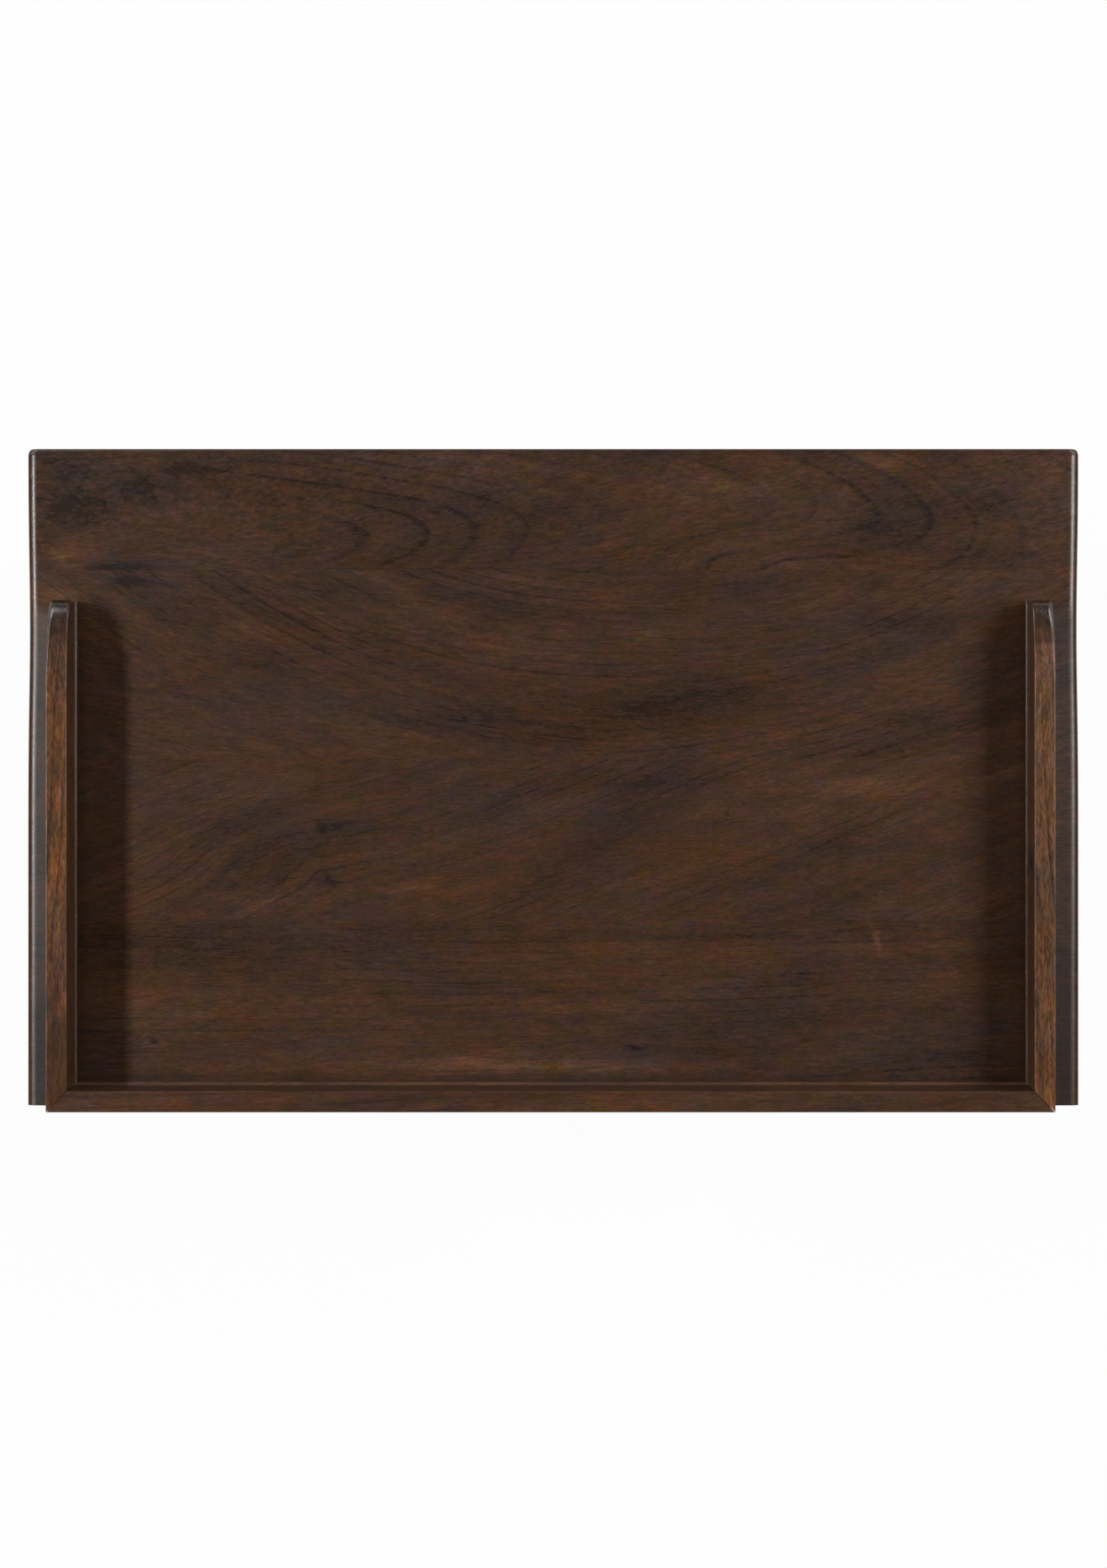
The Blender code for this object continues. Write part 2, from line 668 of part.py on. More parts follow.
class DrawerSizes:
    """The heights that a drawer's pieces share, from the opening that it fills."""

    def __init__(self, opening):
        self.front_low = opening[0] + DRAWER_GAP
        self.front_high = opening[1] - DRAWER_GAP
        self.low = opening[0] + FIT
        self.high = opening[1] - DRAWER_SIDE_DROP
        self.bottom_low = self.low + BOTTOM_GROOVE_HEIGHT
        self.bottom_high = self.bottom_low + DRAWER_BOTTOM
        self.back_low = self.bottom_high + FIT
        self.front_tails = tail_heights((self.bottom_low + self.bottom_high) / 2, self.high - TAIL_EDGE)
        self.back_tails = tail_heights(self.back_low + TAIL_EDGE, self.high - TAIL_EDGE)


def make_drawer_side(name, side, sizes, wood):
    """A drawer side with dovetails at both ends and a groove for the bottom."""
    root, tip = DRAWER_FRONT_REAR_Y + FIT, DRAWER_FRONT_REAR_Y - TAIL_LENGTH
    back_root = DRAWER_REAR_Y - DRAWER_BACK - FIT
    outline = [(root, sizes.low)]
    for height in sizes.front_tails:
        outline += tail_points(root, tip, height)
    outline += [(root, sizes.high), (back_root, sizes.high)]
    for height in reversed(sizes.back_tails):
        outline += reversed(tail_points(back_root, DRAWER_REAR_Y, height))
    outline += [(back_root, sizes.back_low), (DRAWER_REAR_Y, sizes.back_low), (DRAWER_REAR_Y, sizes.low)]
    piece = new_piece(name, plate_mesh(outline, DRAWER_SIDE), wood)
    lay(piece, LAID_FACING_X, (side * (DRAWER_X - DRAWER_SIDE / 2), 0.0, 0.0))
    left, right = sorted((side * (DRAWER_IN_X - PAST), side * (DRAWER_IN_X + BOTTOM_GROOVE)))
    low = (left, tip - PAST, sizes.bottom_low - FIT)
    cut(piece, box_cutter(low, (right, DRAWER_REAR_Y + PAST, sizes.bottom_high + FIT)))
    return piece


def cut_sockets(piece, base, tip, heights):
    """Sockets at both ends of a drawer's front or back for the dovetails on its sides."""
    thickness = DRAWER_SIDE + FIT + PAST
    for side in SIDES.values():
        for height in heights:
            corners = tail_points(base, tip, height, FIT)
            cutter = new_cutter(plate_mesh(corners, thickness))
            cut(piece, lay(cutter, LAID_FACING_X, (side * (DRAWER_IN_X - FIT + thickness / 2), 0.0, 0.0)))


def make_drawer_front(name, sizes, wood):
    low = (-DRAWER_X, DRAWER_Y, sizes.front_low)
    high = (DRAWER_X, DRAWER_FRONT_REAR_Y, sizes.front_high)
    front = board(name, low, high, wood, DRAWER_FRONT_EASE, on_front_face)
    cut_sockets(front, DRAWER_FRONT_REAR_Y + FIT, DRAWER_FRONT_REAR_Y - TAIL_LENGTH - FIT, sizes.front_tails)
    groove_low = (-DRAWER_IN_X - FIT, DRAWER_FRONT_REAR_Y - BOTTOM_GROOVE, sizes.bottom_low - FIT)
    groove_high = (DRAWER_IN_X + FIT, DRAWER_FRONT_REAR_Y + PAST, sizes.bottom_high + FIT)
    cut(front, box_cutter(groove_low, groove_high))
    return front


def make_drawer_back(name, sizes, wood):
    low = (-DRAWER_X, DRAWER_REAR_Y - DRAWER_BACK, sizes.back_low + FIT)
    back = board(name, low, (DRAWER_X, DRAWER_REAR_Y, sizes.high), wood)
    cut_sockets(back, DRAWER_REAR_Y - DRAWER_BACK - FIT, DRAWER_REAR_Y + FIT, sizes.back_tails)
    return back


def make_drawer_bottom(name, sizes, ply):
    reach = DRAWER_IN_X + BOTTOM_GROOVE - FIT
    low = (-reach, DRAWER_FRONT_REAR_Y - BOTTOM_GROOVE + FIT, sizes.bottom_low)
    return board(name, low, (reach, DRAWER_REAR_Y, sizes.bottom_high), ply)


def knob_profile():
    """A round knob from the middle of its face to its base, and then up the bore for its screw."""
    widest = KNOB_PROJECTION - KNOB_CROWN
    profile = [(0.0, KNOB_PROJECTION)]
    face = arc((0.0, widest), (KNOB_RADIUS, KNOB_CROWN), 75, 0, ARC_STEPS)
    under = arc((KNOB_NECK_RADIUS, widest), (KNOB_RADIUS - KNOB_NECK_RADIUS, widest / 2), -15, -90, ARC_STEPS)
    bore = KNOB_SCREW_RADIUS + FIT
    profile += face + under
    profile += [(KNOB_NECK_RADIUS, KNOB_BASE_HEIGHT), (KNOB_BASE_RADIUS, KNOB_BASE_HEIGHT * 2 / 3)]
    profile += [(KNOB_BASE_RADIUS, 0.0), (bore, 0.0), (bore, KNOB_BORE_DEPTH), (0.0, KNOB_BORE_DEPTH)]
    return profile


def knob_screw_profile():
    """A pan-head screw, from the tip of its shank down to its head."""
    shank, head = KNOB_SCREW_RADIUS, KNOB_SCREW_HEAD_RADIUS
    length = DRAWER_FRONT + KNOB_SCREW_GRIP
    return [
        (0.0, length),
        (shank, length),
        (shank, 0.0),
        (head, 0.0),
        (head, -KNOB_SCREW_HEAD_HEIGHT / 2),
        (head / 2, -KNOB_SCREW_HEAD_HEIGHT),
        (0.0, -KNOB_SCREW_HEAD_HEIGHT),
    ]


def make_knobs(drawer, sizes, front, metal, steel):
    """Two knobs on a drawer's front, each held by a screw through it."""
    height = (sizes.front_low + sizes.front_high) / 2
    pieces = []
    for name, side in SIDES.items():
        x = side * KNOB_SPACING / 2
        seat = (x, DRAWER_Y - FIT, height)
        inside = (x, DRAWER_FRONT_REAR_Y + FIT, height)
        hole = KNOB_SCREW_RADIUS + FIT
        bore = [(0.0, DRAWER_FRONT + PAST), (hole, DRAWER_FRONT + PAST), (hole, -PAST), (0.0, -PAST)]
        cut(front, turned_cutter(bore, TURNED_TO_FRONT, inside))
        pieces.append(turned(f"{drawer}_knob_{name}", knob_profile(), metal, TURNED_TO_FRONT, seat))
        screw = f"{drawer}_knob_screw_{name}"
        pieces.append(turned(screw, knob_screw_profile(), steel, TURNED_TO_FRONT, inside, SCREW_STEPS))
    return pieces


def make_drawer(drawer, wood, inner_wood, ply, metal, steel):
    sizes = DrawerSizes(OPENINGS[drawer])
    front = make_drawer_front(f"{drawer}_drawer_front", sizes, wood)
    pieces = [front, make_drawer_back(f"{drawer}_drawer_back", sizes, inner_wood)]
    for name, side in SIDES.items():
        pieces.append(make_drawer_side(f"{drawer}_drawer_side_{name}", side, sizes, inner_wood))
    pieces.append(make_drawer_bottom(f"{drawer}_drawer_bottom", sizes, ply))
    pieces += make_knobs(drawer, sizes, front, metal, steel)
    new_carrier(f"{drawer}_drawer", (0.0, DRAWER_Y, (sizes.front_low + sizes.front_high) / 2), pieces)


# The whole nightstand


def main():
    wood = new_material("dark_wood", (0.075, 0.038, 0.022), 0.38)
    inner_wood = new_material("drawer_wood", (0.38, 0.22, 0.11), 0.55)
    ply = new_material("plywood", (0.30, 0.18, 0.09), 0.6)
    bronze = new_material("aged_bronze", (0.09, 0.065, 0.045), 0.4, 1.0)
    steel = new_material("zinc_steel", (0.55, 0.55, 0.55), 0.35, 1.0)
    nylon = new_material("glide_nylon", (0.03, 0.03, 0.03), 0.5)

    panel = make_top_panel(wood)
    gallery = make_gallery(wood, panel)
    make_gallery_screws(steel, panel, gallery)

    legs = make_legs(wood, nylon)
    make_side_panels(wood, legs)
    make_back_panel(ply, legs)
    rails = make_rails(wood, legs)
    make_top_screws(steel, panel, rails["top", "front"], rails["top", "back"])

    for name, side in SIDES.items():
        make_runner("lower", "bottom", name, side, wood, rails)
        make_runner("upper", "middle", name, side, wood, rails)
        make_kicker(name, side, wood, rails)
    for drawer in OPENINGS:
        make_pull_stop(drawer, wood)
        make_drawer(drawer, wood, inner_wood, ply, bronze, steel)


clear_scene()
PARTS = new_collection("nightstand")
CUTTERS = new_collection("cutters")
main()
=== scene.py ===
"""The nightstand as it looks: its woods, metal, light and camera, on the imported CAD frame.

Metres, +Z up, in the frame's own place: the front faces -Y and the floor is at z = 0.
"""

import math
import random
from collections import namedtuple

import bmesh
import bpy
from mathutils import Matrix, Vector


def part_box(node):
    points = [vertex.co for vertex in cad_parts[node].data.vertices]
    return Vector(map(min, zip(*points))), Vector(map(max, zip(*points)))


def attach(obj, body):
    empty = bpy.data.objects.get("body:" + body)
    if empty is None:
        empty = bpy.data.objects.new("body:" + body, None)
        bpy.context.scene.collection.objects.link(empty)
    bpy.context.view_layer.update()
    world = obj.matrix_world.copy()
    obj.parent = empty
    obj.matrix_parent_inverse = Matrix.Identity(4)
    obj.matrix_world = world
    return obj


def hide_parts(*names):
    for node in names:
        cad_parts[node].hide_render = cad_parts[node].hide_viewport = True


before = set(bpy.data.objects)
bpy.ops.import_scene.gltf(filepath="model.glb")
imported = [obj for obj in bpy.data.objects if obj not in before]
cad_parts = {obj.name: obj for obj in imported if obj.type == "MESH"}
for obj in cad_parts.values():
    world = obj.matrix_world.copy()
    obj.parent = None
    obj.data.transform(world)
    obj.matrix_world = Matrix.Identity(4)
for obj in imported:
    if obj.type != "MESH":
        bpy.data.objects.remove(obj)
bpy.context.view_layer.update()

AXES = {"X": 0, "Y": 1, "Z": 2}
SIDES = {"left": -1, "right": 1}
DRAWERS = ("lower", "upper")
chance = random.Random(11)

# Top: four boards side by side, with joints at these places from front to back
TOP_JOINTS = (-0.1398, -0.0123, 0.0965)
TOP_ROUND = (0.0065, 0.0045)
TOP_UNDER_ROUND = (0.003, 0.003)
TOP_FRONT_EASE = (0.005, 0.0025)
TOP_ROUND_STEPS = 14
TOP_EASE_STEPS = 5
# The rounded ends run a little hollow, deepest at this place
HOLLOW = 0.0012
HOLLOW_PLACE = -0.100
HOLLOW_REACH = 0.065
STATION_STEP = 0.012

# The photograph shows the gallery a little to one side
GALLERY_ASIDE = 0.0013
# Side rails: upright at the front, then swept up
RAIL_END_HEIGHT = 0.020
RAIL_SWEEP = 0.055
SWEEP_STEPS = 32
LEVEL_STEPS = 12
# How far the rails' edges are rounded: on the level part, low on the sweep, and at the upright corners
RAIL_EASE = 0.0008
RAIL_OUTER_END_EASE = 0.0035
RAIL_INNER_END_EASE = 0.0012
RAIL_CORNER_EASE = 0.0016
# Over which shares of the sweep the rounding grows, and over which it fades
END_EASE_GROWS = (0.0, 0.24)
END_EASE_FADES = (0.40, 0.95)
# How far the rails' feet reach into the top, so that no gap shows
RAIL_FOOT = 0.001
EASE_STEPS = 4
# Lacquer pooled at the feet of the rails, and how many times wider it is along the back
BEAD_WIDTH = 0.0012
BEAD_HEIGHT = 0.00055
BACK_BEAD = 1.6
BEAD_STEPS = 4
# A rail's crest is what faces up by at least this much
CREST_FACING = 0.30
# Where a rail's crest turns golden, from its front end, and where that fades out on one of them
CREST_RUBBED = {"left": (0.014, 0.034), "right": (0.009, 0.025)}
CREST_FADES = {"left": None, "right": (0.245, 0.300)}
CREST_TONES = {"left": 0.56, "right": 0.50}

# Legs: the knee's height, the foot's width, and how far the edges are rounded
LEG_KNEE = 0.185
LEG_FOOT = 0.024
LEG_EASE = 0.002

# Knobs, as (distance from the drawer's face, radius)
KNOB_OUTLINE = (
    (0.0000, 0.0079), (0.0012, 0.0080), (0.0024, 0.0076), (0.0034, 0.0062),
    (0.0060, 0.0054), (0.0100, 0.0056), (0.0132, 0.0074), (0.0152, 0.0104),
    (0.0166, 0.0125), (0.0184, 0.0130), (0.0200, 0.0125), (0.0213, 0.0104),
    (0.0222, 0.0066), (0.0226, 0.0000),
)
KNOB_STEPS = 48
KNOB_CURVE_STEPS = 4
# Between these radii a knob turns from dull to rubbed bright
KNOB_RUBBED = (0.009, 0.012)

# Case sides are glued up from three boards each
SIDE_BOARDS = 3

# Edges sharper than the first angle stay sharp, and faces within the second are one flat face
SHARP_ANGLE = math.radians(35)
FLAT_ANGLE = math.radians(0.5)
SAME_PLACE = 1e-5
# An eased edge's faces lean about this much, give or take the reach
OBLIQUE = 0.7
OBLIQUE_REACH = 0.4
# How far apart boards of one wood are cut, along, across and through the grain, and the range of seeds
CUT_APART = (0.4, 0.05, 0.02)
SEEDS = 40.0


def srgb(red, green, blue):
    """A colour as a picture editor writes it, made linear for a shader."""

    def linear(value):
        value /= 255
        return value / 12.92 if value <= 0.04045 else ((value + 0.055) / 1.055) ** 2.4

    return (linear(red), linear(green), linear(blue), 1.0)


# Nodes

# The middle of a noise, as a value and as a colour
MIDDLE = 0.5
GREY = (MIDDLE, MIDDLE, MIDDLE)

# A noise: features per metre along each axis, its detail and roughness, and how much it counts
Field = namedtuple("Field", "scale detail roughness amount")


def feed(node, inputs):
    """Links or sets a node's inputs."""
    for key, value in inputs.items():
        if isinstance(value, Value):
            node.id_data.links.new(value.socket, node.inputs[key])
        else:
            node.inputs[key].default_value = value


def add(tree, kind, inputs, output=0, **settings):
    """A new node's output."""
    node = tree.nodes.new(kind)
    for key, value in settings.items():
        setattr(node, key, value)
    feed(node, inputs)
    return Value(node.outputs[output])


class Value:
    """A node's output, to reckon with like a number, or like a vector where it or the other is one."""

    def __init__(self, socket):
        self.socket = socket
        self.tree = socket.id_data

    def reckon(self, operation, *others):
        inputs = dict(enumerate((self, *others)))
        plain = self.socket.type == "VALUE" and not any(isinstance(other, tuple) for other in others)
        kind = "ShaderNodeMath" if plain else "ShaderNodeVectorMath"
        return add(self.tree, kind, inputs, operation=operation)

    def __add__(self, other):
        return self.reckon("ADD", other)

    __radd__ = __add__

    def __sub__(self, other):
        return self.reckon("SUBTRACT", other)

    def __mul__(self, other):
        return self.reckon("MULTIPLY", other)

    def __truediv__(self, other):
        return self.reckon("DIVIDE", other)

    def remap(self, low, high, to_low=0.0, to_high=1.0):
        """This value brought smoothly from one pair of limits to another."""
        inputs = {"Value": self, "From Min": low, "From Max": high, "To Min": to_low, "To Max": to_high}
        return add(self.tree, "ShaderNodeMapRange", inputs, interpolation_type="SMOOTHSTEP")

    def ramp(self, stops):
        """The colour that stops give to this value."""
        colour = add(self.tree, "ShaderNodeValToRGB", {"Fac": self})
        elements = colour.socket.node.color_ramp.elements
        while len(elements) < len(stops):
            elements.new(1.0)
        for element, (position, shade) in zip(elements, stops):
            element.position = position
            element.color = shade
        return colour

    def blend(self, first, second):
        """A mix of two colours, which is the second where this value is 1."""
        # The node's inputs 6 and 7 and its output 2 are the ones for colours
        return add(self.tree, "ShaderNodeMix", {0: self, 6: first, 7: second}, 2, data_type="RGBA")


def length(vector):
    return add(vector.tree, "ShaderNodeVectorMath", {0: vector}, "Value", operation="LENGTH")


def separate(vector):
    """A vector's three parts."""
    node = add(vector.tree, "ShaderNodeSeparateXYZ", {0: vector}).socket.node
    return [Value(socket) for socket in node.outputs]


def combine(x, y):
    return add(x.tree, "ShaderNodeCombineXYZ", {"X": x, "Y": y})


def attribute(tree, name, output="Fac"):
    return add(tree, "ShaderNodeAttribute", {}, output, attribute_name=name)


def noise(place, field, seed=0.0, output=0):
    """A field's noise, from 0 to 1."""
    inputs = {"Vector": place * field.scale, "W": seed, "Scale": 1.0}
    inputs |= {"Detail": field.detail, "Roughness": field.roughness}
    return add(place.tree, "ShaderNodeTexNoise", inputs, output, noise_dimensions="4D")


def swing(place, field, seed):
    """A field's noise as a swing to both sides of 0, as wide as its amount."""
    return (noise(place, field, seed) - MIDDLE) * field.amount


def bump(height, distance, strength=1.0, normal=None):
    inputs = {"Height": height, "Distance": distance, "Strength": strength}
    if normal:
        inputs["Normal"] = normal
    return add(height.tree, "ShaderNodeBump", inputs, "Normal")


def new_material(name):
    material = bpy.data.materials.new(name)
    material.use_nodes = True
    tree = material.node_tree
    return material, tree, tree.nodes["Principled BSDF"]


# Woods

# A knot or patch: its centre and reach, how far it pushes the rings, how it changes the tone, and how much
# more it shows the ring lines
Mark = namedtuple("Mark", "along across reach_along reach_across push tone lines", defaults=(0.0,))
# How a board was cut: the middle of its rings, how many times longer than wide they run, and how they slope
Figure = namedtuple("Figure", "along across depth stretch slope marks")


def patch(along, across, reach_along, reach_across, tone):
    return Mark(along, across, reach_along, reach_across, 0.0, tone)


def stain_of(stops, *colours):
    """A stain's or surface's colours, each with the tone that shows it."""
    return [(stop, srgb(*colour)) for stop, colour in zip(stops, colours)]


# The tones that show the colours of most stains
STOPS = (0.05, 0.30, 0.50, 0.70, 0.95)
DARK_STAIN = stain_of(
    (0.05, 0.20, 0.36, 0.50, 0.66, 0.80, 0.95),
    (36, 23, 16), (49, 33, 24), (57, 38, 27), (65, 42, 28), (74, 48, 32), (83, 54, 35), (97, 65, 42),
)
GOLDEN_STAIN = stain_of(STOPS, (46, 30, 22), (68, 44, 30), (89, 58, 37), (112, 74, 46), (146, 104, 70))
PALE_WOOD = stain_of(
    STOPS, (146, 112, 78), (176, 141, 103), (190, 156, 117), (202, 170, 132), (214, 186, 150)
)
STAINED_PLY = stain_of(STOPS, (62, 45, 33), (80, 58, 42), (92, 67, 48), (104, 76, 54), (122, 92, 66))
# Growth rings: how they wander, how far apart they are, and how much the fibres lean with them
RING_WAVES = Field((2.5, 7.0, 7.0), 1.0, 0.5, 0.040)
RING_RIPPLES = Field((9.0, 26.0, 26.0), 1.0, 0.5, 0.006)
RING_WIDTH = 0.0075
RING_LEAN = 0.35
RING_UNEVEN = Field((0.0, 25.0, 0.0), 1.0, 0.5, 2.0)
FIBRE_WAVES = Field((9.0, 14.0, 14.0), 2.0, 0.5, 0.006)
# How marks lose their even outline, and how deep they go
MARK_STRAY = Field((22.0, 60.0, 60.0), 2.0, 0.5, (0.050, 0.018, 0.0))
MARK_DEPTH = 10.0
# A ring's dark line: over which part of a ring it grows and ends, where it shows, and its tone
LATE_GROWS = (0.70, 0.92)
LATE_ENDS = (0.92, 1.0)
LATE_SHOWN = Field((5.0, 30.0, 1.0), 2.0, 0.5, 1.0)
LATE_SHOWN_LIMITS = (0.40, 0.66)
LATE_TONE = -0.25
# Lighter and darker wood, from broad blotches to single fibres
BLOTCHES = Field((8.0, 26.0, 1.0), 3.0, 0.5, 0.66)
BANDS = Field((5.0, 75.0, 1.0), 3.0, 0.55, 0.56)
MOTTLE = Field((34.0, 130.0, 1.0), 3.0, 0.6, 0.40)
FIBRES = Field((90.0, 700.0, 1.0), 2.0, 0.6, 0.65)
THREADS = Field((260.0, 1700.0, 1.0), 1.0, 0.5, 0.8)
BROAD = (BLOTCHES, BANDS)
FINE = (MOTTLE, FIBRES, THREADS)
PORE_LIMITS = (0.60, 0.70)
# The mottle breaks up marks that leave the rings alone, between these shares of their tone
MARK_MOTTLE = (0.30, 0.70)
MARK_SHARES = (0.45, 0.85)
# How dark the pores and the end grain are
PORE_DARKNESS = 0.30
END_DARKNESS = 0.45
# How much red, green and blue stray from the stain, finely and broadly
FINE_CAST = Field((50.0, 105.0, 105.0), 4.0, 0.9, (1.4, 0.5, 3.2))
WARM_CAST = Field((9.0, 22.0, 22.0), 3.0, 0.6, (0.6, -0.1, -1.6))
# Where edges are rubbed
RUB = Field((60.0, 60.0, 60.0), 3.0, 0.6, 1.0)
RUB_LIMITS = (0.38, 0.62)
# The coat: uneven gloss, duller pores and end grain, sheen that follows the fibres, and relief
SMEAR = Field((14.0, 30.0, 30.0), 3.0, 0.6, 0.07)
PORE_DULLNESS = 0.08
END_DULLS = (0.20, 0.45)
END_SHINE = 0.06
FIBRE_LIMITS = (0.7, 1.3)
FIBRE_SHINE = (0.88, 1.12)
SWELL = Field((16.0, 22.0, 22.0), 1.0, 0.5, 0.0004)
FIBRE_RELIEF = (0.00002, 0.7)
# Faces of the top and of the rails shine less where they turn from upward to steep
STEEP = (0.45, 0.88)
STEEP_SHINE = 0.15
# A rail's crest: how ragged its golden part is, where it starts, and its swept end, darkened with painted
# shade and given a glossier coat
CREST_RAGGED = 1.6
CREST_GOLDEN = (0.20, 0.70)
CREST_SWEPT = (-1.0, -0.2)
SWEPT_PAINTED_SHADE = -0.28
SWEPT_GLOSS = -0.10
SWEPT_SHINE = 0.3
# How far painted shade reaches on the top: from the gallery's foot, from the front edge and from the ends,
# and how dark it is
PAINTED_SHADE_REACH = 0.010
FRONT_SHADE_REACH = 0.006
SIDE_SHADE_REACH = 0.003
PAINTED_SHADE_DARKNESS = 0.45
# The strips outside the gallery: how softly they start at the rails, at the rounding and in front
STRIP_RAIL_FADE = 0.004
STRIP_ROUND_FADE = 0.003
STRIP_FRONT = (-0.002, 0.014)
# Their duller, thicker coat, which grows from one end of the top to the other
STRIP_ROUGHNESS = 0.20
STRIP_ENDS = (-0.30, 0.30)
STRIP_SHINE = 0.40
# Where, from front to back, the strips turn darker and lose some of that coat
STRIP_DARKENS = (0.095, 0.175)
STRIP_DARKNESS = 0.75
STRIP_DULLNESS = 0.45
# Ply: its tone, how its grain wavers, its bands and fibres, and where its edge turns to the next layer
PLY_TONE = 0.55
PLY_WAVES = Field((3.0, 12.0, 3.0), 2.0, 0.5, 0.05)
PLY_BANDS = Field((1.5, 45.0, 1.0), 3.0, 0.55, 1.1)
PLY_FIBRES = Field((20.0, 700.0, 1.0), 3.0, 0.6, 0.7)
PLY_LAYER = 0.0015
PLY_TURN = (0.35, 0.65)
PLY_ROUGHNESS = 0.5
PLY_UNEVEN = 0.3
PLY_SHINE = 0.35
PLY_RELIEF = (0.00005, 0.8)
# Metals and plastic: their clouds also change the roughness, by the cloud's amount
BRONZE_CLOUD = Field((140.0, 140.0, 140.0), 4.0, 0.6, 0.3)
BRONZE_SPECK = Field((900.0, 900.0, 900.0), 2.0, 0.5, 1.0)
BRONZE_DULL = stain_of((0.3, 0.7), (58, 44, 33), (92, 70, 48))
BRONZE_BRIGHT = (srgb(150, 118, 78), srgb(180, 146, 100))
BRONZE_RUB = (0.35, 0.62)
BRONZE_ROUGHNESS = 0.42
RUBBED_ROUGHNESS = -0.12
BRONZE_RELIEF = (0.00004, 0.6)
Clouded = namedtuple("Clouded", "cloud colours roughness relief metallic")
ZINC = Clouded(
    Field((500.0, 500.0, 500.0), 3.0, 0.6, 0.3),
    stain_of((0.3, 0.7), (150, 150, 148), (198, 197, 190)),
    roughness=0.34, relief=(0.00002, 0.5), metallic=1.0,
)
NYLON = Clouded(
    Field((260.0, 260.0, 260.0), 4.0, 0.6, 0.4),
    stain_of((0.3, 0.7), (44, 38, 34), (66, 57, 50)),
    roughness=0.5, relief=(0.0001, 0.5), metallic=0.0,
)

CASE_FIGURE = Figure(0.10, -0.22, -0.03, 6.0, 0.0, ())
DRAWER_FIGURE = Figure(0.05, -0.03, -0.07, 7.0, 0.0, ())

# Where a place is in its board: as marked, strayed, on which ring, along the rings, and along the fibres
Board = namedtuple("Board", "grain seed loose ring line thread")
# The noises that one board shows
Looks = namedtuple("Looks", "blotches bands mottle fibres threads pores")


def spot(place, mark, depth):
    """A mark as a soft spot: 1 at its centre, fading out past its reach along each axis."""
    off = place - (mark.along, mark.across, depth)
    distance = length(off / (mark.reach_along, mark.reach_across, MARK_DEPTH))
    return (distance * distance * -1.0).reckon("EXPONENT")


def ring_field(grain, loose, seed, figure):
    """How far each place is from the middle of the tree, with knots pushing the rings about."""
    off = grain - (figure.along, figure.across, figure.depth)
    ring = length(off * (1 / figure.stretch, 1.0, 1.0))
    ring += separate(grain)[0] * figure.slope
    ring += swing(grain, RING_WAVES, seed)
    ring += swing(grain, RING_RIPPLES, seed)
    for mark in figure.marks:
        if mark.push:
            ring += spot(loose, mark, figure.depth) * mark.push
    return ring


def board_places(tree, figure):
    """Where each place is in its board, for the shaders to draw their noises in."""
    grain = attribute(tree, "grain", "Vector")
    seed = attribute(tree, "board")
    loose = grain + (noise(grain, MARK_STRAY, seed, "Color") - GREY) * MARK_STRAY.amount
    ring = ring_field(grain, loose, seed, figure)
    x, y, z = separate(grain)
    leaning = (y + z) * (1.0 - RING_LEAN) + ring * RING_LEAN + swing(grain, FIBRE_WAVES, seed)
    return Board(grain, seed, loose, ring, combine(x, ring), combine(x, leaning))


def board_looks(board):
    """A board's noises: the broad ones follow its rings, and the fine ones its fibres."""
    broad = [noise(board.line, field, board.seed) for field in BROAD]
    fine = [noise(board.thread, field, board.seed) for field in FINE]
    return Looks(*broad, *fine, fine[-1].remap(*PORE_LIMITS))


def late_wood(board, figure):
    """Thin dark lines where a season's growth ended, coming and going along the board."""
    rings = board.ring / RING_WIDTH + swing(board.line, RING_UNEVEN, board.seed)
    phase = rings.reckon("FRACT")
    shown = noise(board.line, LATE_SHOWN, board.seed).remap(*LATE_SHOWN_LIMITS)
    for mark in figure.marks:
        if mark.lines:
            shown += spot(board.loose, mark, figure.depth) * mark.lines
    return phase.remap(*LATE_GROWS) * phase.remap(*LATE_ENDS, 1.0, 0.0) * shown


def board_tones(board, looks, figure, tone, contrast):
    """How light each place of a board is."""
    tones = tone
    for look, field in zip(looks, BROAD + FINE):
        tones += (look - MIDDLE) * (field.amount * contrast)
    tones += late_wood(board, figure) * (LATE_TONE * contrast)
    broken = looks.mottle.remap(*MARK_MOTTLE, *MARK_SHARES)
    for mark in figure.marks:
        shade = spot(board.loose, mark, figure.depth) * mark.tone
        tones += shade if mark.push else shade * broken
    return tones


def painted_edge_shade(grain):
    """1 on the top where shade is painted, at the gallery's foot and on the edges, and 0 elsewhere."""
    inner_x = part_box("gallery_right")[0].x
    inner_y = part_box("gallery_back")[0].y
    front_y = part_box("gallery_right")[0].y
    edge_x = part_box("top_panel")[1].x
    edge_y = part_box("top_panel")[0].y
    x, y, _ = separate(grain)
    across = x.reckon("ABSOLUTE")
    beside = across.remap(inner_x - PAINTED_SHADE_REACH, inner_x)
    inside = across.reckon("LESS_THAN", inner_x + SAME_PLACE)
    behind = y.remap(front_y - PAINTED_SHADE_REACH / 2, front_y + PAINTED_SHADE_REACH / 2)
    at_back = y.remap(inner_y - PAINTED_SHADE_REACH, inner_y)
    near = (beside * behind).reckon("MAXIMUM", at_back)
    at_front = y.remap(edge_y, edge_y + FRONT_SHADE_REACH, 1.0, 0.0)
    at_side = across.remap(edge_x - SIDE_SHADE_REACH, edge_x - SIDE_SHADE_REACH / 3)
    return (near * inside).reckon("MAXIMUM", at_front.reckon("MAXIMUM", at_side))


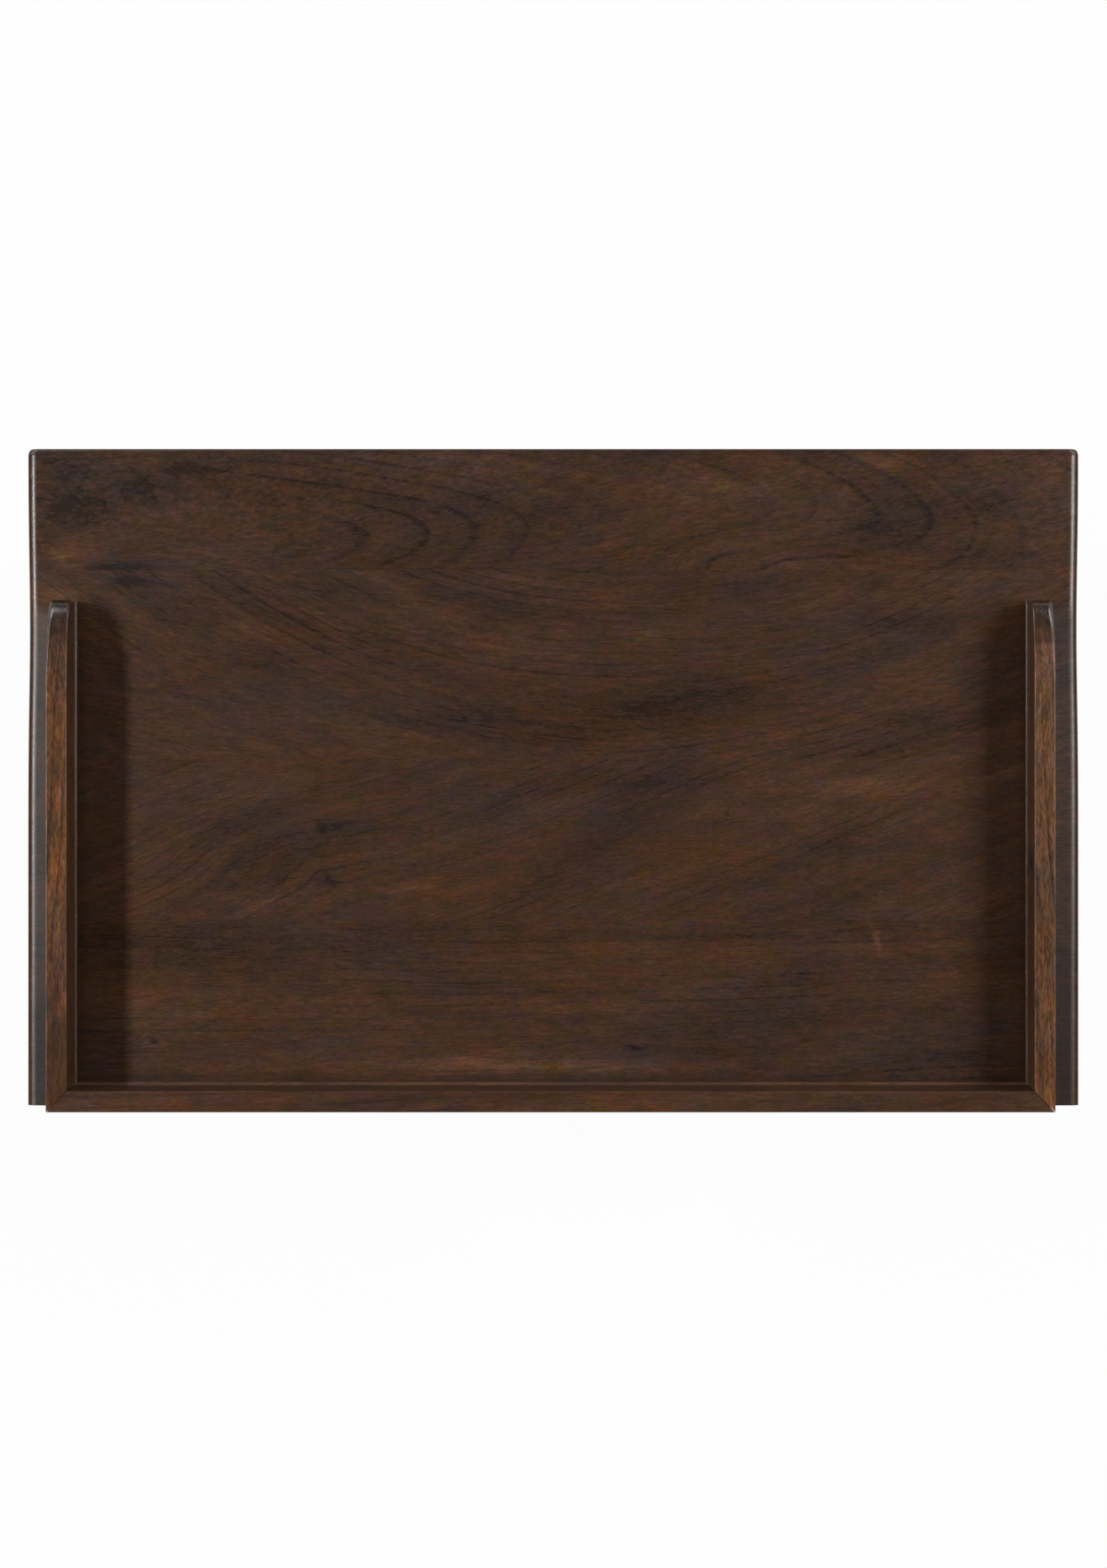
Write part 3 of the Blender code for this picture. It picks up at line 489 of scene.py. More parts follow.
def outer_strip(grain):
    """1 on the flat strips outside the gallery, where the lacquer wasn't rubbed down, and 0 elsewhere."""
    outer_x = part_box("gallery_right")[1].x
    front_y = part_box("gallery_right")[0].y
    round_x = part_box("top_panel")[1].x - TOP_ROUND[0]
    x, y, _ = separate(grain)
    across = x.reckon("ABSOLUTE")
    outside = across.remap(outer_x - STRIP_RAIL_FADE, outer_x)
    flat = across.remap(round_x, round_x + STRIP_ROUND_FADE, 1.0, 0.0)
    behind = y.remap(*(front_y + limit for limit in STRIP_FRONT))
    return outside * flat * behind


def strip_shine(grain, strip):
    """How much more the strips outside the gallery shine."""
    x, y, _ = separate(grain)
    thick = x.remap(*STRIP_ENDS, 0.0, STRIP_SHINE)
    return strip * (thick * y.remap(*STRIP_DARKENS, 1.0, 1.0 - STRIP_DULLNESS))


def darkened_top(colour, grain, strip, darkest):
    """The top's colour with painted shade along the gallery's foot and its edges, and darker towards the
    back of its strips.
    """
    # Painted shade at the gallery's foot, along the front edge and on the rounded ends
    colour = (painted_edge_shade(grain) * PAINTED_SHADE_DARKNESS).blend(colour, darkest)
    # The strips outside the gallery turn darker towards the back
    darkness = separate(grain)[1].remap(*STRIP_DARKENS, 0.0, STRIP_DARKNESS)
    return (strip * darkness).blend(colour, darkest)


def rail_crest(tree, looks):
    """How golden a rail's crest is, and how much a place belongs to its swept end."""
    # 1 where the crest is rubbed golden, -1 at its swept end, which gets painted shade
    rubbed = attribute(tree, "rubbed")
    ragged = rubbed + (looks.mottle - MIDDLE) * CREST_RAGGED + (looks.blotches - MIDDLE) * CREST_RAGGED
    golden = ragged.remap(*CREST_GOLDEN) * rubbed.reckon("GREATER_THAN", 0.0)
    return golden, rubbed.remap(*CREST_SWEPT, 1.0, 0.0)


def tinted(colour, board, field, output, share):
    """A colour with its red, green and blue each changed by a field's noise, times a share."""
    amounts = [share * amount for amount in field.amount]
    off = (noise(board.grain, field, board.seed, output) - GREY) * amounts
    return colour * (off + (1.0, 1.0, 1.0))


def board_colour(colour, board, looks, darkest, stray_hue):
    """A stain's colour with dark pores and end grain, straying a little in hue."""
    colour = (looks.pores * PORE_DARKNESS).blend(colour, darkest)
    end = attribute(colour.tree, "end_grain")
    colour = (end * END_DARKNESS).blend(colour, darkest)
    colour = tinted(colour, board, FINE_CAST, "Color", stray_hue)
    return tinted(colour, board, WARM_CAST, 0, stray_hue)


def board_normal(board, looks):
    """A surface that swells a little, with fibres and pores in relief."""
    normal = bump(noise(board.grain, SWELL, board.seed), SWELL.amount)
    return bump(looks.fibres - looks.pores, *FIBRE_RELIEF, normal)


def less_when_steep(sheen):
    facing = add(sheen.tree, "ShaderNodeNewGeometry", {}, "Normal")
    return sheen * separate(facing)[2].remap(*STEEP, STEEP_SHINE, 1.0)


def wood(name, stain, figure, gloss=0.31, shine=0.40, contrast=1.0, tone=0.5, wear=0.6, stray_hue=1.0,
         on_top=False, crest=None):
    """Stained wood with rings, streaks, fibres, pores, darker end grain, rubbed edges and a satin coat.

    on_top adds what the top shows round its gallery, with painted shade at its foot and edges. crest is the
    stain of a rail's rubbed crest, which gets painted shade and a glossier coat at its swept end.
    """
    material, tree, shader = new_material(name)
    darkest, lightest = stain[0][1], stain[-1][1]
    board = board_places(tree, figure)
    looks = board_looks(board)
    tones = board_tones(board, looks, figure, tone, contrast)
    roughness = gloss + swing(board.grain, SMEAR, board.seed) + looks.pores * PORE_DULLNESS
    if crest:
        golden, swept = rail_crest(tree, looks)
        # Painted shade darkens the crest's swept end
        tones += swept * SWEPT_PAINTED_SHADE
        roughness += swept * SWEPT_GLOSS
        sheen = shine + swept * SWEPT_SHINE
        colour = golden.blend(tones.ramp(stain), tones.ramp(crest))
    else:
        sheen = attribute(tree, "end_grain").remap(*END_DULLS, shine, END_SHINE)
        colour = tones.ramp(stain)
    colour = board_colour(colour, board, looks, darkest, stray_hue)
    sheen *= (looks.fibres + looks.threads).remap(*FIBRE_LIMITS, *FIBRE_SHINE)
    if on_top:
        strip = outer_strip(board.grain)
        colour = darkened_top(colour, board.grain, strip, darkest)
        roughness += strip * STRIP_ROUGHNESS
        sheen += strip_shine(board.grain, strip)
    if on_top or crest:
        sheen = less_when_steep(sheen)
    rub = attribute(tree, "worn") * noise(board.grain, RUB, board.seed).remap(*RUB_LIMITS)
    colour = (rub * wear).blend(colour, lightest)
    inputs = {"Base Color": colour, "Roughness": roughness, "Specular IOR Level": sheen}
    feed(shader, {**inputs, "Normal": board_normal(board, looks)})
    return material


def plywood(name, stain):
    """A sheet of ply: a face veneer with long grain, and its layers seen on the edge."""
    material, tree, shader = new_material(name)
    grain = attribute(tree, "grain", "Vector")
    seed = attribute(tree, "board")
    x, y, z = separate(grain)
    line = combine(x, y + swing(grain, PLY_WAVES, seed))
    fibres = noise(line, PLY_FIBRES, seed)
    tones = PLY_TONE + swing(line, PLY_BANDS, seed) + (fibres - MIDDLE) * PLY_FIBRES.amount
    layer = (z / PLY_LAYER).reckon("PINGPONG", 1.0)
    edge_colour = layer.remap(*PLY_TURN).blend(stain[1][1], stain[-1][1])
    on_edge = attribute(tree, "end_grain").reckon("MAXIMUM", attribute(tree, "worn"))
    inputs = {"Base Color": on_edge.blend(tones.ramp(stain), edge_colour), "Specular IOR Level": PLY_SHINE}
    roughness = PLY_ROUGHNESS + (fibres - MIDDLE) * PLY_UNEVEN
    feed(shader, {**inputs, "Roughness": roughness, "Normal": bump(fibres, *PLY_RELIEF)})
    return material


def aged_bronze(name):
    """Dark bronze, rubbed brighter on the crown and held darker in the hollows."""
    material, tree, shader = new_material(name)
    place = add(tree, "ShaderNodeTexCoord", {}, "Object")
    cloud = noise(place, BRONZE_CLOUD)
    speck = noise(place, BRONZE_SPECK)
    rub = attribute(tree, "worn") * cloud.remap(*BRONZE_RUB)
    colour = rub.blend(cloud.ramp(BRONZE_DULL), speck.blend(*BRONZE_BRIGHT))
    roughness = BRONZE_ROUGHNESS + (cloud - MIDDLE) * BRONZE_CLOUD.amount + rub * RUBBED_ROUGHNESS
    inputs = {"Base Color": colour, "Metallic": 1.0, "Roughness": roughness}
    feed(shader, {**inputs, "Normal": bump(speck, *BRONZE_RELIEF)})
    return material


def clouded(name, stuff):
    """Zinc-plated steel or moulded nylon, faintly clouded in its colour and gloss."""
    material, tree, shader = new_material(name)
    cloud = noise(add(tree, "ShaderNodeTexCoord", {}, "Object"), stuff.cloud)
    roughness = stuff.roughness + (cloud - MIDDLE) * stuff.cloud.amount
    inputs = {"Base Color": cloud.ramp(stuff.colours), "Metallic": stuff.metallic, "Roughness": roughness}
    feed(shader, {**inputs, "Normal": bump(cloud, *stuff.relief)})
    return material


# Meshes


def in_scene(name, data):
    """An object in the scene."""
    thing = bpy.data.objects.new(name, data)
    bpy.context.scene.collection.objects.link(thing)
    return thing


def repaint(mesh, material):
    mesh.materials.clear()
    mesh.materials.append(material)


def new_piece(name, mesh, material, body, nodes):
    """A piece in its place in the frame, riding on its body and standing for its CAD nodes."""
    piece = in_scene(name, mesh)
    repaint(mesh, material)
    mesh.polygons.foreach_set("use_smooth", [True] * len(mesh.polygons))
    mesh.set_sharp_from_angle(angle=SHARP_ANGLE)
    flat_faces = piece.modifiers.new("flat_faces", "WEIGHTED_NORMAL")
    flat_faces.keep_sharp = True
    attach(piece, body)
    if nodes:
        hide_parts(*nodes)


def mesh_of(name, shape):
    """A bmesh made into a mesh, its normals outward."""
    bmesh.ops.recalc_face_normals(shape, faces=shape.faces)
    mesh = bpy.data.meshes.new(name)
    shape.to_mesh(mesh)
    shape.free()
    return mesh


def skin(shape, rows, closed=True):
    """Faces from each row of corners to the next."""
    for first, second in zip(rows, rows[1:]):
        for index in range(len(first) if closed else len(first) - 1):
            following = (index + 1) % len(first)
            shape.faces.new((first[index], first[following], second[following], second[index]))


def skinned(outlines):
    """A solid through outlines with the same number of corners, closed at both ends."""
    shape = bmesh.new()
    rings = [[shape.verts.new(place) for place in outline] for outline in outlines]
    skin(shape, rings)
    shape.faces.new(rings[0])
    shape.faces.new(rings[-1])
    return shape


def rise(value, limits):
    """From 0 at the first limit to 1 at the second."""
    low, high = limits
    return max(0.0, min(1.0, (value - low) / (high - low)))


def quarter(reach, steps):
    """A quarter of an ellipse from (0, height) to (width, 0), as distances in from a corner's two sides."""
    width, height = reach
    angles = [math.radians(90 * step / steps) for step in range(steps + 1)]
    return [(width * (1 - math.cos(angle)), height * (1 - math.sin(angle))) for angle in angles]


def ease(shape, edges, width):
    """Rounds some of a shape's edges."""
    settings = {"segments": EASE_STEPS, "profile": 0.5, "affect": "EDGES", "clamp_overlap": True}
    bmesh.ops.bevel(shape, geom=edges, offset=width, **settings)


def obliqueness(part):
    """How much a face leans like an eased edge, from the part of its normal along an axis."""
    return max(0.0, 1.0 - abs(abs(part) - OBLIQUE) / OBLIQUE_REACH)


def mark_wood(mesh, axes, joints=(), in_place=False, worn_axes="XYZ"):
    """Writes down for the shaders how the grain runs.

    axes names the directions along, across and through it. joints are where boards of their own wood meet
    across it. in_place keeps the frame's own coordinates, in which the top's figures are set out.
    """
    order = [AXES[axis] for axis in axes]
    worn_order = [AXES[axis] for axis in worn_axes]
    middle = sum((vert.co for vert in mesh.vertices), Vector()) / len(mesh.vertices)
    shifts = []
    seeds = []
    for _ in range(len(joints) + 1):
        shift = Vector([chance.uniform(-reach, reach) for reach in CUT_APART])
        shifts.append(Vector() if in_place else shift)
        seeds.append(chance.uniform(0.0, SEEDS))
    grain = mesh.attributes.new("grain", "FLOAT_VECTOR", "CORNER")
    end = mesh.attributes.new("end_grain", "FLOAT", "FACE")
    board = mesh.attributes.new("board", "FLOAT", "FACE")
    worn = mesh.attributes.new("worn", "FLOAT", "FACE")
    origin = Vector() if in_place else middle
    for face in mesh.polygons:
        number = sum(face.center[order[1]] > joint for joint in joints)
        board.data[face.index].value = seeds[number]
        end.data[face.index].value = face.normal[order[0]] ** 2
        worn.data[face.index].value = max(obliqueness(face.normal[axis]) for axis in worn_order)
        for corner in face.loop_indices:
            place = mesh.vertices[mesh.loops[corner].vertex_index].co - origin
            grain.data[corner].vector = Vector(place[axis] for axis in order) + shifts[number]


def cad_shape(node):
    """A CAD node's own shape, with its triangles joined back into whole faces."""
    shape = bmesh.new()
    shape.from_mesh(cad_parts[node].data)
    bmesh.ops.remove_doubles(shape, verts=shape.verts, dist=SAME_PLACE)
    bmesh.ops.dissolve_limit(shape, angle_limit=FLAT_ANGLE, verts=shape.verts, edges=shape.edges)
    return shape


def split(shape, axis, places):
    """Cuts a shape's faces across at each place along an axis."""
    direction = Vector((0.0, 0.0, 0.0))
    direction[AXES[axis]] = 1.0
    for place in places:
        geometry = shape.verts[:] + shape.edges[:] + shape.faces[:]
        bmesh.ops.bisect_plane(shape, geom=geometry, plane_co=direction * place, plane_no=direction)


def wooden(name, shape, material, nodes, axes, body="case", slot="dark_wood", **marks):
    """A piece with its grain marked, of the case unless told otherwise. Its slot is not used."""
    mesh = mesh_of(name, shape)
    mark_wood(mesh, axes, **marks)
    new_piece(name, mesh, material, body, nodes)
    return mesh


def dressed(node, material, axes, joints=(), **home):
    """A CAD node's shape again, as a wooden piece."""
    shape = cad_shape(node)
    split(shape, axes[1], joints)
    wooden(f"{node}_wood", shape, material, [node], axes, joints=joints, **home)


# The top and its gallery

# Arches that close to the right, with dark clouds near the left end of the photograph
FRONT_BOARD = Figure(0.30, -0.162, 0.63, 4.9, 0.0, (
    Mark(-0.130, -0.140, 0.085, 0.030, 0.022, 0.0, 0.4),
    Mark(0.110, -0.168, 0.075, 0.028, 0.0, 0.0, 1.3),
    patch(0.325, -0.182, 0.020, 0.0125, -1.00),
    patch(0.280, -0.196, 0.014, 0.010, -0.65),
    patch(0.291, -0.139, 0.021, 0.006, -0.95),
    patch(0.335, -0.210, 0.025, 0.009, -0.40),
    patch(0.243, -0.209, 0.016, 0.006, -0.40),
    patch(0.175, -0.215, 0.038, 0.005, -0.30),
    patch(0.324, -0.148, 0.009, 0.0075, 0.55),
    patch(-0.125, -0.195, 0.056, 0.010, 0.30),
    patch(-0.229, -0.212, 0.038, 0.006, 0.40),
    patch(-0.228, -0.169, 0.019, 0.0075, -0.35),
    patch(-0.299, -0.148, 0.038, 0.009, -0.35),
    patch(-0.288, -0.179, 0.038, 0.0125, -0.30),
))
# Lines that sag to the middle, with dark bands along them
SECOND_BOARD = Figure(-0.057, -0.43, 0.63, 1.22, 0.0, (
    patch(0.291, -0.135, 0.021, 0.006, -0.70),
    patch(0.328, -0.120, 0.0125, 0.0075, 0.30),
    patch(0.144, -0.130, 0.031, 0.0055, -0.25),
    patch(0.081, -0.122, 0.038, 0.006, -0.25),
    patch(0.025, -0.112, 0.038, 0.0075, -0.25),
    patch(0.050, -0.039, 0.050, 0.010, -0.35),
    patch(0.006, -0.025, 0.038, 0.006, -0.30),
    patch(-0.063, -0.047, 0.038, 0.009, -0.50),
    patch(-0.114, -0.055, 0.025, 0.0075, -0.35),
    patch(-0.242, -0.039, 0.025, 0.009, -0.30),
    patch(-0.236, -0.105, 0.031, 0.005, -0.35),
    patch(-0.213, -0.131, 0.019, 0.005, -0.30),
    patch(0.231, -0.095, 0.044, 0.009, 0.20),
    patch(-0.063, -0.095, 0.075, 0.009, 0.25),
    patch(-0.050, -0.075, 0.160, 0.060, -0.17),
    patch(-0.250, -0.075, 0.100, 0.060, -0.13),
))
# An eye round two knots at the left of the photograph, and lines that rise to the right
THIRD_BOARD = Figure(0.10, -1.5, 0.63, 6.0, -0.40, (
    Mark(0.187, 0.046, 0.069, 0.028, 0.016, -0.05),
    Mark(0.159, 0.032, 0.0055, 0.0035, 0.004, -0.45),
    Mark(0.146, 0.0315, 0.005, 0.003, 0.003, -0.40),
    Mark(0.155, 0.068, 0.009, 0.0055, 0.005, -0.45),
    patch(0.212, 0.083, 0.056, 0.005, 0.25),
    patch(0.106, 0.075, 0.056, 0.005, 0.20),
    patch(-0.057, 0.005, 0.050, 0.0075, -0.30),
    patch(-0.226, 0.046, 0.038, 0.006, -0.25),
    patch(-0.210, 0.005, 0.050, 0.0075, 0.35),
    patch(-0.288, 0.002, 0.031, 0.009, 0.25),
    patch(-0.188, 0.025, 0.050, 0.006, 0.20),
    patch(0.231, 0.033, 0.025, 0.009, -0.20),
    patch(0.000, 0.045, 0.130, 0.050, -0.12),
    patch(0.344, 0.042, 0.012, 0.030, -0.55),
))
# Straight lines, darker along the joint, with a pin knot and a tan fleck
BACK_BOARD = Figure(0.06, -1.5, 0.63, 8.0, 0.0, (
    patch(0.169, 0.108, 0.163, 0.010, -0.26),
    patch(-0.125, 0.108, 0.094, 0.003, -0.26),
    patch(-0.219, 0.108, 0.003, 0.009, 0.60),
    patch(-0.060, 0.1845, 0.0055, 0.0015, -0.90),
    Mark(0.274, 0.1765, 0.007, 0.006, 0.004, 0.30),
    Mark(0.274, 0.1765, 0.004, 0.003, 0.003, -0.70),
    patch(0.025, 0.196, 0.113, 0.006, 0.40),
    patch(0.194, 0.129, 0.025, 0.009, -0.20),
    patch(-0.230, 0.160, 0.090, 0.040, -0.12),
))


def hollow(y):
    """How far the rounded ends of the top lie in from its full width."""
    return HOLLOW * math.exp(-(((y - HOLLOW_PLACE) / HOLLOW_REACH) ** 2))


def top_section(low, high, y, inset):
    """A slice of a board seen from the front, its corners rounded over, taken in all round by an inset."""
    left, right = low.x + inset + hollow(y), high.x - inset - hollow(y)
    under, over = low.z + inset, high.z - inset
    upper = quarter(TOP_ROUND, TOP_ROUND_STEPS)
    lower = quarter(TOP_UNDER_ROUND, TOP_EASE_STEPS)
    corners = [(right - across, over - down) for across, down in upper]
    corners += [(left + across, over - down) for across, down in upper[::-1]]
    corners += [(left + across, under + up) for across, up in lower]
    corners += [(right - across, under + up) for across, up in lower[::-1]]
    return [(x, y, z) for x, z in corners]


def lofted_board(low, high, front_ease):
    """A board between two places from front to back, its ends rounded over and its front edge eased."""
    stations = [(low.y, 0.0)]
    if front_ease:
        stations = [(low.y + along, inset) for along, inset in quarter(front_ease, TOP_EASE_STEPS)]
    start = stations[-1][0]
    steps = math.ceil((high.y - start) / STATION_STEP)
    stations += [(start + (high.y - start) * (step + 1) / steps, 0.0) for step in range(steps)]
    return skinned([top_section(low, high, y, inset) for y, inset in stations])


def make_top():
    low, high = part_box("top_panel")
    edges = (low.y, *TOP_JOINTS, high.y)
    for number, figure in enumerate((FRONT_BOARD, SECOND_BOARD, THIRD_BOARD, BACK_BOARD), 1):
        front = Vector((low.x, edges[number - 1], low.z))
        back = Vector((high.x, edges[number], high.z))
        board = lofted_board(front, back, TOP_FRONT_EASE if number == 1 else None)
        material = wood(f"top_wood_{number}", DARK_STAIN, figure, contrast=1.1, wear=0.0, on_top=True)
        wooden(f"top_board_{number}", board, material, ["top_panel"], "XYZ", in_place=True, worn_axes="Y")


def rail_stations(front, back, foot, crest):
    """Along a side rail from its front foot to the back: place, normal and share of the sweep."""
    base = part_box("top_panel")[1].z + RAIL_END_HEIGHT
    climb = crest - base
    stations = [(Vector((front, foot)), Vector((-1.0, 0.0)), 0.0)]
    for step in range(SWEEP_STEPS + 1):
        share = step / SWEEP_STEPS
        angle = math.radians(180 - 90 * share)
        place = Vector((front + RAIL_SWEEP * (1 + math.cos(angle)), base + climb * math.sin(angle)))
        normal = Vector((climb * math.cos(angle), RAIL_SWEEP * math.sin(angle))).normalized()
        stations.append((place, normal, share))
    level = front + RAIL_SWEEP
    for step in range(LEVEL_STEPS):
        along = level + (back - level) * (step + 1) / LEVEL_STEPS
        stations.append((Vector((along, crest)), Vector((0.0, 1.0)), 1.0))
    return stations


def rail_edge(at_end, share):
    """How far a rail's edge is rounded: little at the upright corner, most low on the sweep, less above."""
    full = RAIL_CORNER_EASE + (at_end - RAIL_CORNER_EASE) * rise(share, END_EASE_GROWS)
    return full + (RAIL_EASE - full) * rise(share, END_EASE_FADES)


def crest_profile(thickness, share):
    """Across a rail's crest from its outer face: how far across, and how far below the crest."""
    outer = quarter([rail_edge(RAIL_OUTER_END_EASE, share)] * 2, EASE_STEPS)
    inner = quarter([rail_edge(RAIL_INNER_END_EASE, share)] * 2, EASE_STEPS)
    return outer + [(thickness - across, drop) for across, drop in reversed(inner)]


def gallery_box(node):
    """Where a gallery rail is, with the gallery set a little to one side as in the photograph."""
    aside = Vector((GALLERY_ASIDE, 0.0, 0.0))
    low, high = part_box(node)
    return low + aside, high + aside


def make_side_rail(name, side, material):
    """A side rail, lofted over its sweep and mitred at the back."""
    low, high = gallery_box(f"gallery_{name}")
    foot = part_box("top_panel")[1].z - RAIL_FOOT
    thickness = high.x - low.x
    outer = high.x if side > 0 else low.x
    shape = bmesh.new()
    rows = []
    stations = rail_stations(low.y, high.y, foot, high.z)
    for number, (place, normal, share) in enumerate(stations):
        row = []
        for across, drop in crest_profile(thickness, share):
            y, z = place - normal * drop
            mitre = across if number == len(stations) - 1 else 0.0
            row.append(shape.verts.new((outer - side * across, y - mitre, z)))
        rows.append(row)
    skin(shape, rows, closed=False)
    heels = [shape.verts.new((vert.co.x, vert.co.y, foot)) for vert in (rows[-1][0], rows[-1][-1])]
    shape.faces.new([row[0] for row in rows] + [heels[0]])
    shape.faces.new([row[-1] for row in rows] + [heels[1]])
    shape.faces.new(rows[-1] + [heels[1], heels[0]])
    shape.faces.new(rows[0] + [heels[1], heels[0]])
    mesh = wooden(f"gallery_rail_{name}", shape, material, [f"gallery_{name}"], "YXZ", worn_axes="X")
    mark_crest(mesh, low.y, CREST_RUBBED[name], CREST_FADES[name])


def mark_crest(mesh, front, starts, fades):
    """Writes down where a rail's crest is rubbed golden, 1 on the level, and where it gets painted shade,
    -1 at the swept end; 0 on the sides.
    """
    rubbed = mesh.attributes.new("rubbed", "FLOAT", "CORNER")
    for face in mesh.polygons:
        on_crest = face.normal.z > CREST_FACING
        for corner in face.loop_indices:
            from_end = mesh.vertices[mesh.loops[corner].vertex_index].co.y - front
            value = rise(from_end, starts) * 2 - 1
            if fades:
                value = min(value, 1 - rise(from_end, fades))
            rubbed.data[corner].value = value if on_crest else 0.0


def make_back_rail(material):
    """The back rail, mitred at both ends."""
    low, high = gallery_box("gallery_back")
    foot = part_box("top_panel")[1].z - RAIL_FOOT
    thickness = high.y - low.y
    plan = [(low.x, high.y), (high.x, high.y), (high.x - thickness, low.y), (low.x + thickness, low.y)]
    shape = skinned([[(x, y, height) for x, y in plan] for height in (foot, high.z)])

    def on_crest(edge):
        first, second = (vert.co for vert in edge.verts)
        return abs(first.y - second.y) < SAME_PLACE and min(first.z, second.z) > foot + SAME_PLACE

    ease(shape, [edge for edge in shape.edges if on_crest(edge)], RAIL_EASE)
    wooden("gallery_rail_back", shape, material, ["gallery_back"], "XYZ", worn_axes="Y")


def make_bead(material):
    """Lacquer pooled in the corner between the rails and the top, round their front ends and inside."""
    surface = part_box("top_panel")[1].z
    outer_left, left = (corner.x for corner in gallery_box("gallery_left"))
    right, outer_right = (corner.x for corner in gallery_box("gallery_right"))
    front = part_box("gallery_left")[0].y
    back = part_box("gallery_back")[0].y
    # Where the corner runs, and which way the lacquer spreads from it
    path = [
        ((outer_left, front), (0, -1)),
        ((left, front), (1, -1)),
        ((left, back), (1, -BACK_BEAD)),
        ((right, back), (-1, -BACK_BEAD)),
        ((right, front), (-1, -1)),
        ((outer_right, front), (0, -1)),
    ]
    section = [(-BEAD_WIDTH / 2, -BEAD_HEIGHT), *reversed(quarter((BEAD_WIDTH, BEAD_HEIGHT), BEAD_STEPS))]
    outlines = []
    for (x, y), (along_x, along_y) in path:
        outlines.append([(x + off * along_x, y + off * along_y, surface + up) for off, up in section])
    wooden("gallery_bead", skinned(outlines), material, [], "XYZ")


# The case


def make_leg(end, name, material):
    """A square leg, tapered below the knee on its two inner faces."""
    node = f"leg_{end}_{name}"
    low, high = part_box(node)
    outer_x, inner_x = (low.x, high.x) if name == "left" else (high.x, low.x)
    outer_y, inner_y = (low.y, high.y) if end == "front" else (high.y, low.y)
    foot_x = outer_x + math.copysign(LEG_FOOT, inner_x - outer_x)
    foot_y = outer_y + math.copysign(LEG_FOOT, inner_y - outer_y)
    levels = ((foot_x, foot_y, low.z), (inner_x, inner_y, LEG_KNEE), (inner_x, inner_y, high.z))
    outlines = []
    for reach_x, reach_y, height in levels:
        corners = ((outer_x, outer_y), (reach_x, outer_y), (reach_x, reach_y), (outer_x, reach_y))
        outlines.append([(x, y, height) for x, y in corners])
    shape = skinned(outlines)

    def rounded(edge):
        first, second = (vert.co.z for vert in edge.verts)
        return abs(first - second) > SAME_PLACE or max(first, second) < low.z + SAME_PLACE

    ease(shape, [edge for edge in shape.edges if rounded(edge)], LEG_EASE)
    wooden(f"{node}_wood", shape, material, [node], "ZYX" if name == "left" else "ZXY")


def make_case(dark, pale, back_ply):
    for end in ("front", "back"):
        for name in SIDES:
            make_leg(end, name, dark)
        for level in ("top", "middle", "bottom"):
            dressed(f"{level}_{end}_rail", dark, "XZY" if end == "front" else "XYZ")
    for name in SIDES:
        node = f"side_panel_{name}"
        low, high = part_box(node)
        width = (high.y - low.y) / SIDE_BOARDS
        joints = [low.y + width * (number + 1) for number in range(SIDE_BOARDS - 1)]
        dressed(node, dark, "ZYX", joints)
        dressed(f"kicker_{name}", pale, "YXZ", slot="drawer_wood")
        for drawer in DRAWERS:
            dressed(f"{drawer}_runner_{name}", pale, "YXZ", slot="drawer_wood")
    for drawer in DRAWERS:
        dressed(f"{drawer}_drawer_stop", pale, "XYZ", slot="drawer_wood")
    dressed("back_panel", back_ply, "ZXY", slot="plywood")


# Drawers


def smooth_outline(points, steps):
    """A Catmull-Rom curve through points."""
    run = [Vector(point) for point in (points[0], *points, points[-1])]
    curve = []
    for before, start, end, after in zip(run, run[1:], run[2:], run[3:]):
        for step in range(steps):
            t = step / steps
            linear = (end - before) * t
            square = (before * 2 - start * 5 + end * 4 - after) * t * t
            cube = (start * 3 - before - end * 3 + after) * t**3
            curve.append(start + (linear + square + cube) / 2)
    return [*curve, run[-1]]


def make_knob(drawer, name, metal):
    node = f"{drawer}_knob_{name}"
    low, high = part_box(node)
    x, z = (low.x + high.x) / 2, (low.z + high.z) / 2
    shape = bmesh.new()
    rings = []
    outline = smooth_outline(KNOB_OUTLINE, KNOB_CURVE_STEPS)
    angles = [2 * math.pi * step / KNOB_STEPS for step in range(KNOB_STEPS)]
    for distance, radius in outline[:-1]:
        places = [(x + radius * math.cos(a), high.y - distance, z + radius * math.sin(a)) for a in angles]
        rings.append([shape.verts.new(place) for place in places])
    skin(shape, rings)
    shape.faces.new(rings[0])
    tip = shape.verts.new((x, high.y - outline[-1][0], z))
    for step in range(KNOB_STEPS):
        shape.faces.new((rings[-1][step], rings[-1][(step + 1) % KNOB_STEPS], tip))
    mesh = mesh_of(f"{node}_turned", shape)
    worn = mesh.attributes.new("worn", "FLOAT", "POINT")
    for vert in mesh.vertices:
        out = math.hypot(vert.co.x - x, vert.co.z - z)
        worn.data[vert.index].value = rise(out, KNOB_RUBBED)
    new_piece(f"{node}_turned", mesh, metal, f"{drawer}_drawer", [node])


def make_drawers(dark, pale, ply, metal):
    for drawer in DRAWERS:
        body = f"{drawer}_drawer"
        dressed(f"{drawer}_drawer_front", dark, "XZY", body=body)
        dressed(f"{drawer}_drawer_back", pale, "XZY", body=body, slot="drawer_wood")
        dressed(f"{drawer}_drawer_bottom", ply, "XYZ", body=body, slot="plywood")
        for name in SIDES:
            dressed(f"{drawer}_drawer_side_{name}", pale, "YZX", body=body, slot="drawer_wood")
            make_knob(drawer, name, metal)


def paint_fixings(steel, plastic):
    """Screws and glides keep their CAD shape and get their material."""
    for node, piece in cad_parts.items():
        if "screw" in node:
            repaint(piece.data, steel)
        if "glide" in node:
            repaint(piece.data, plastic)


# Floor, light and camera

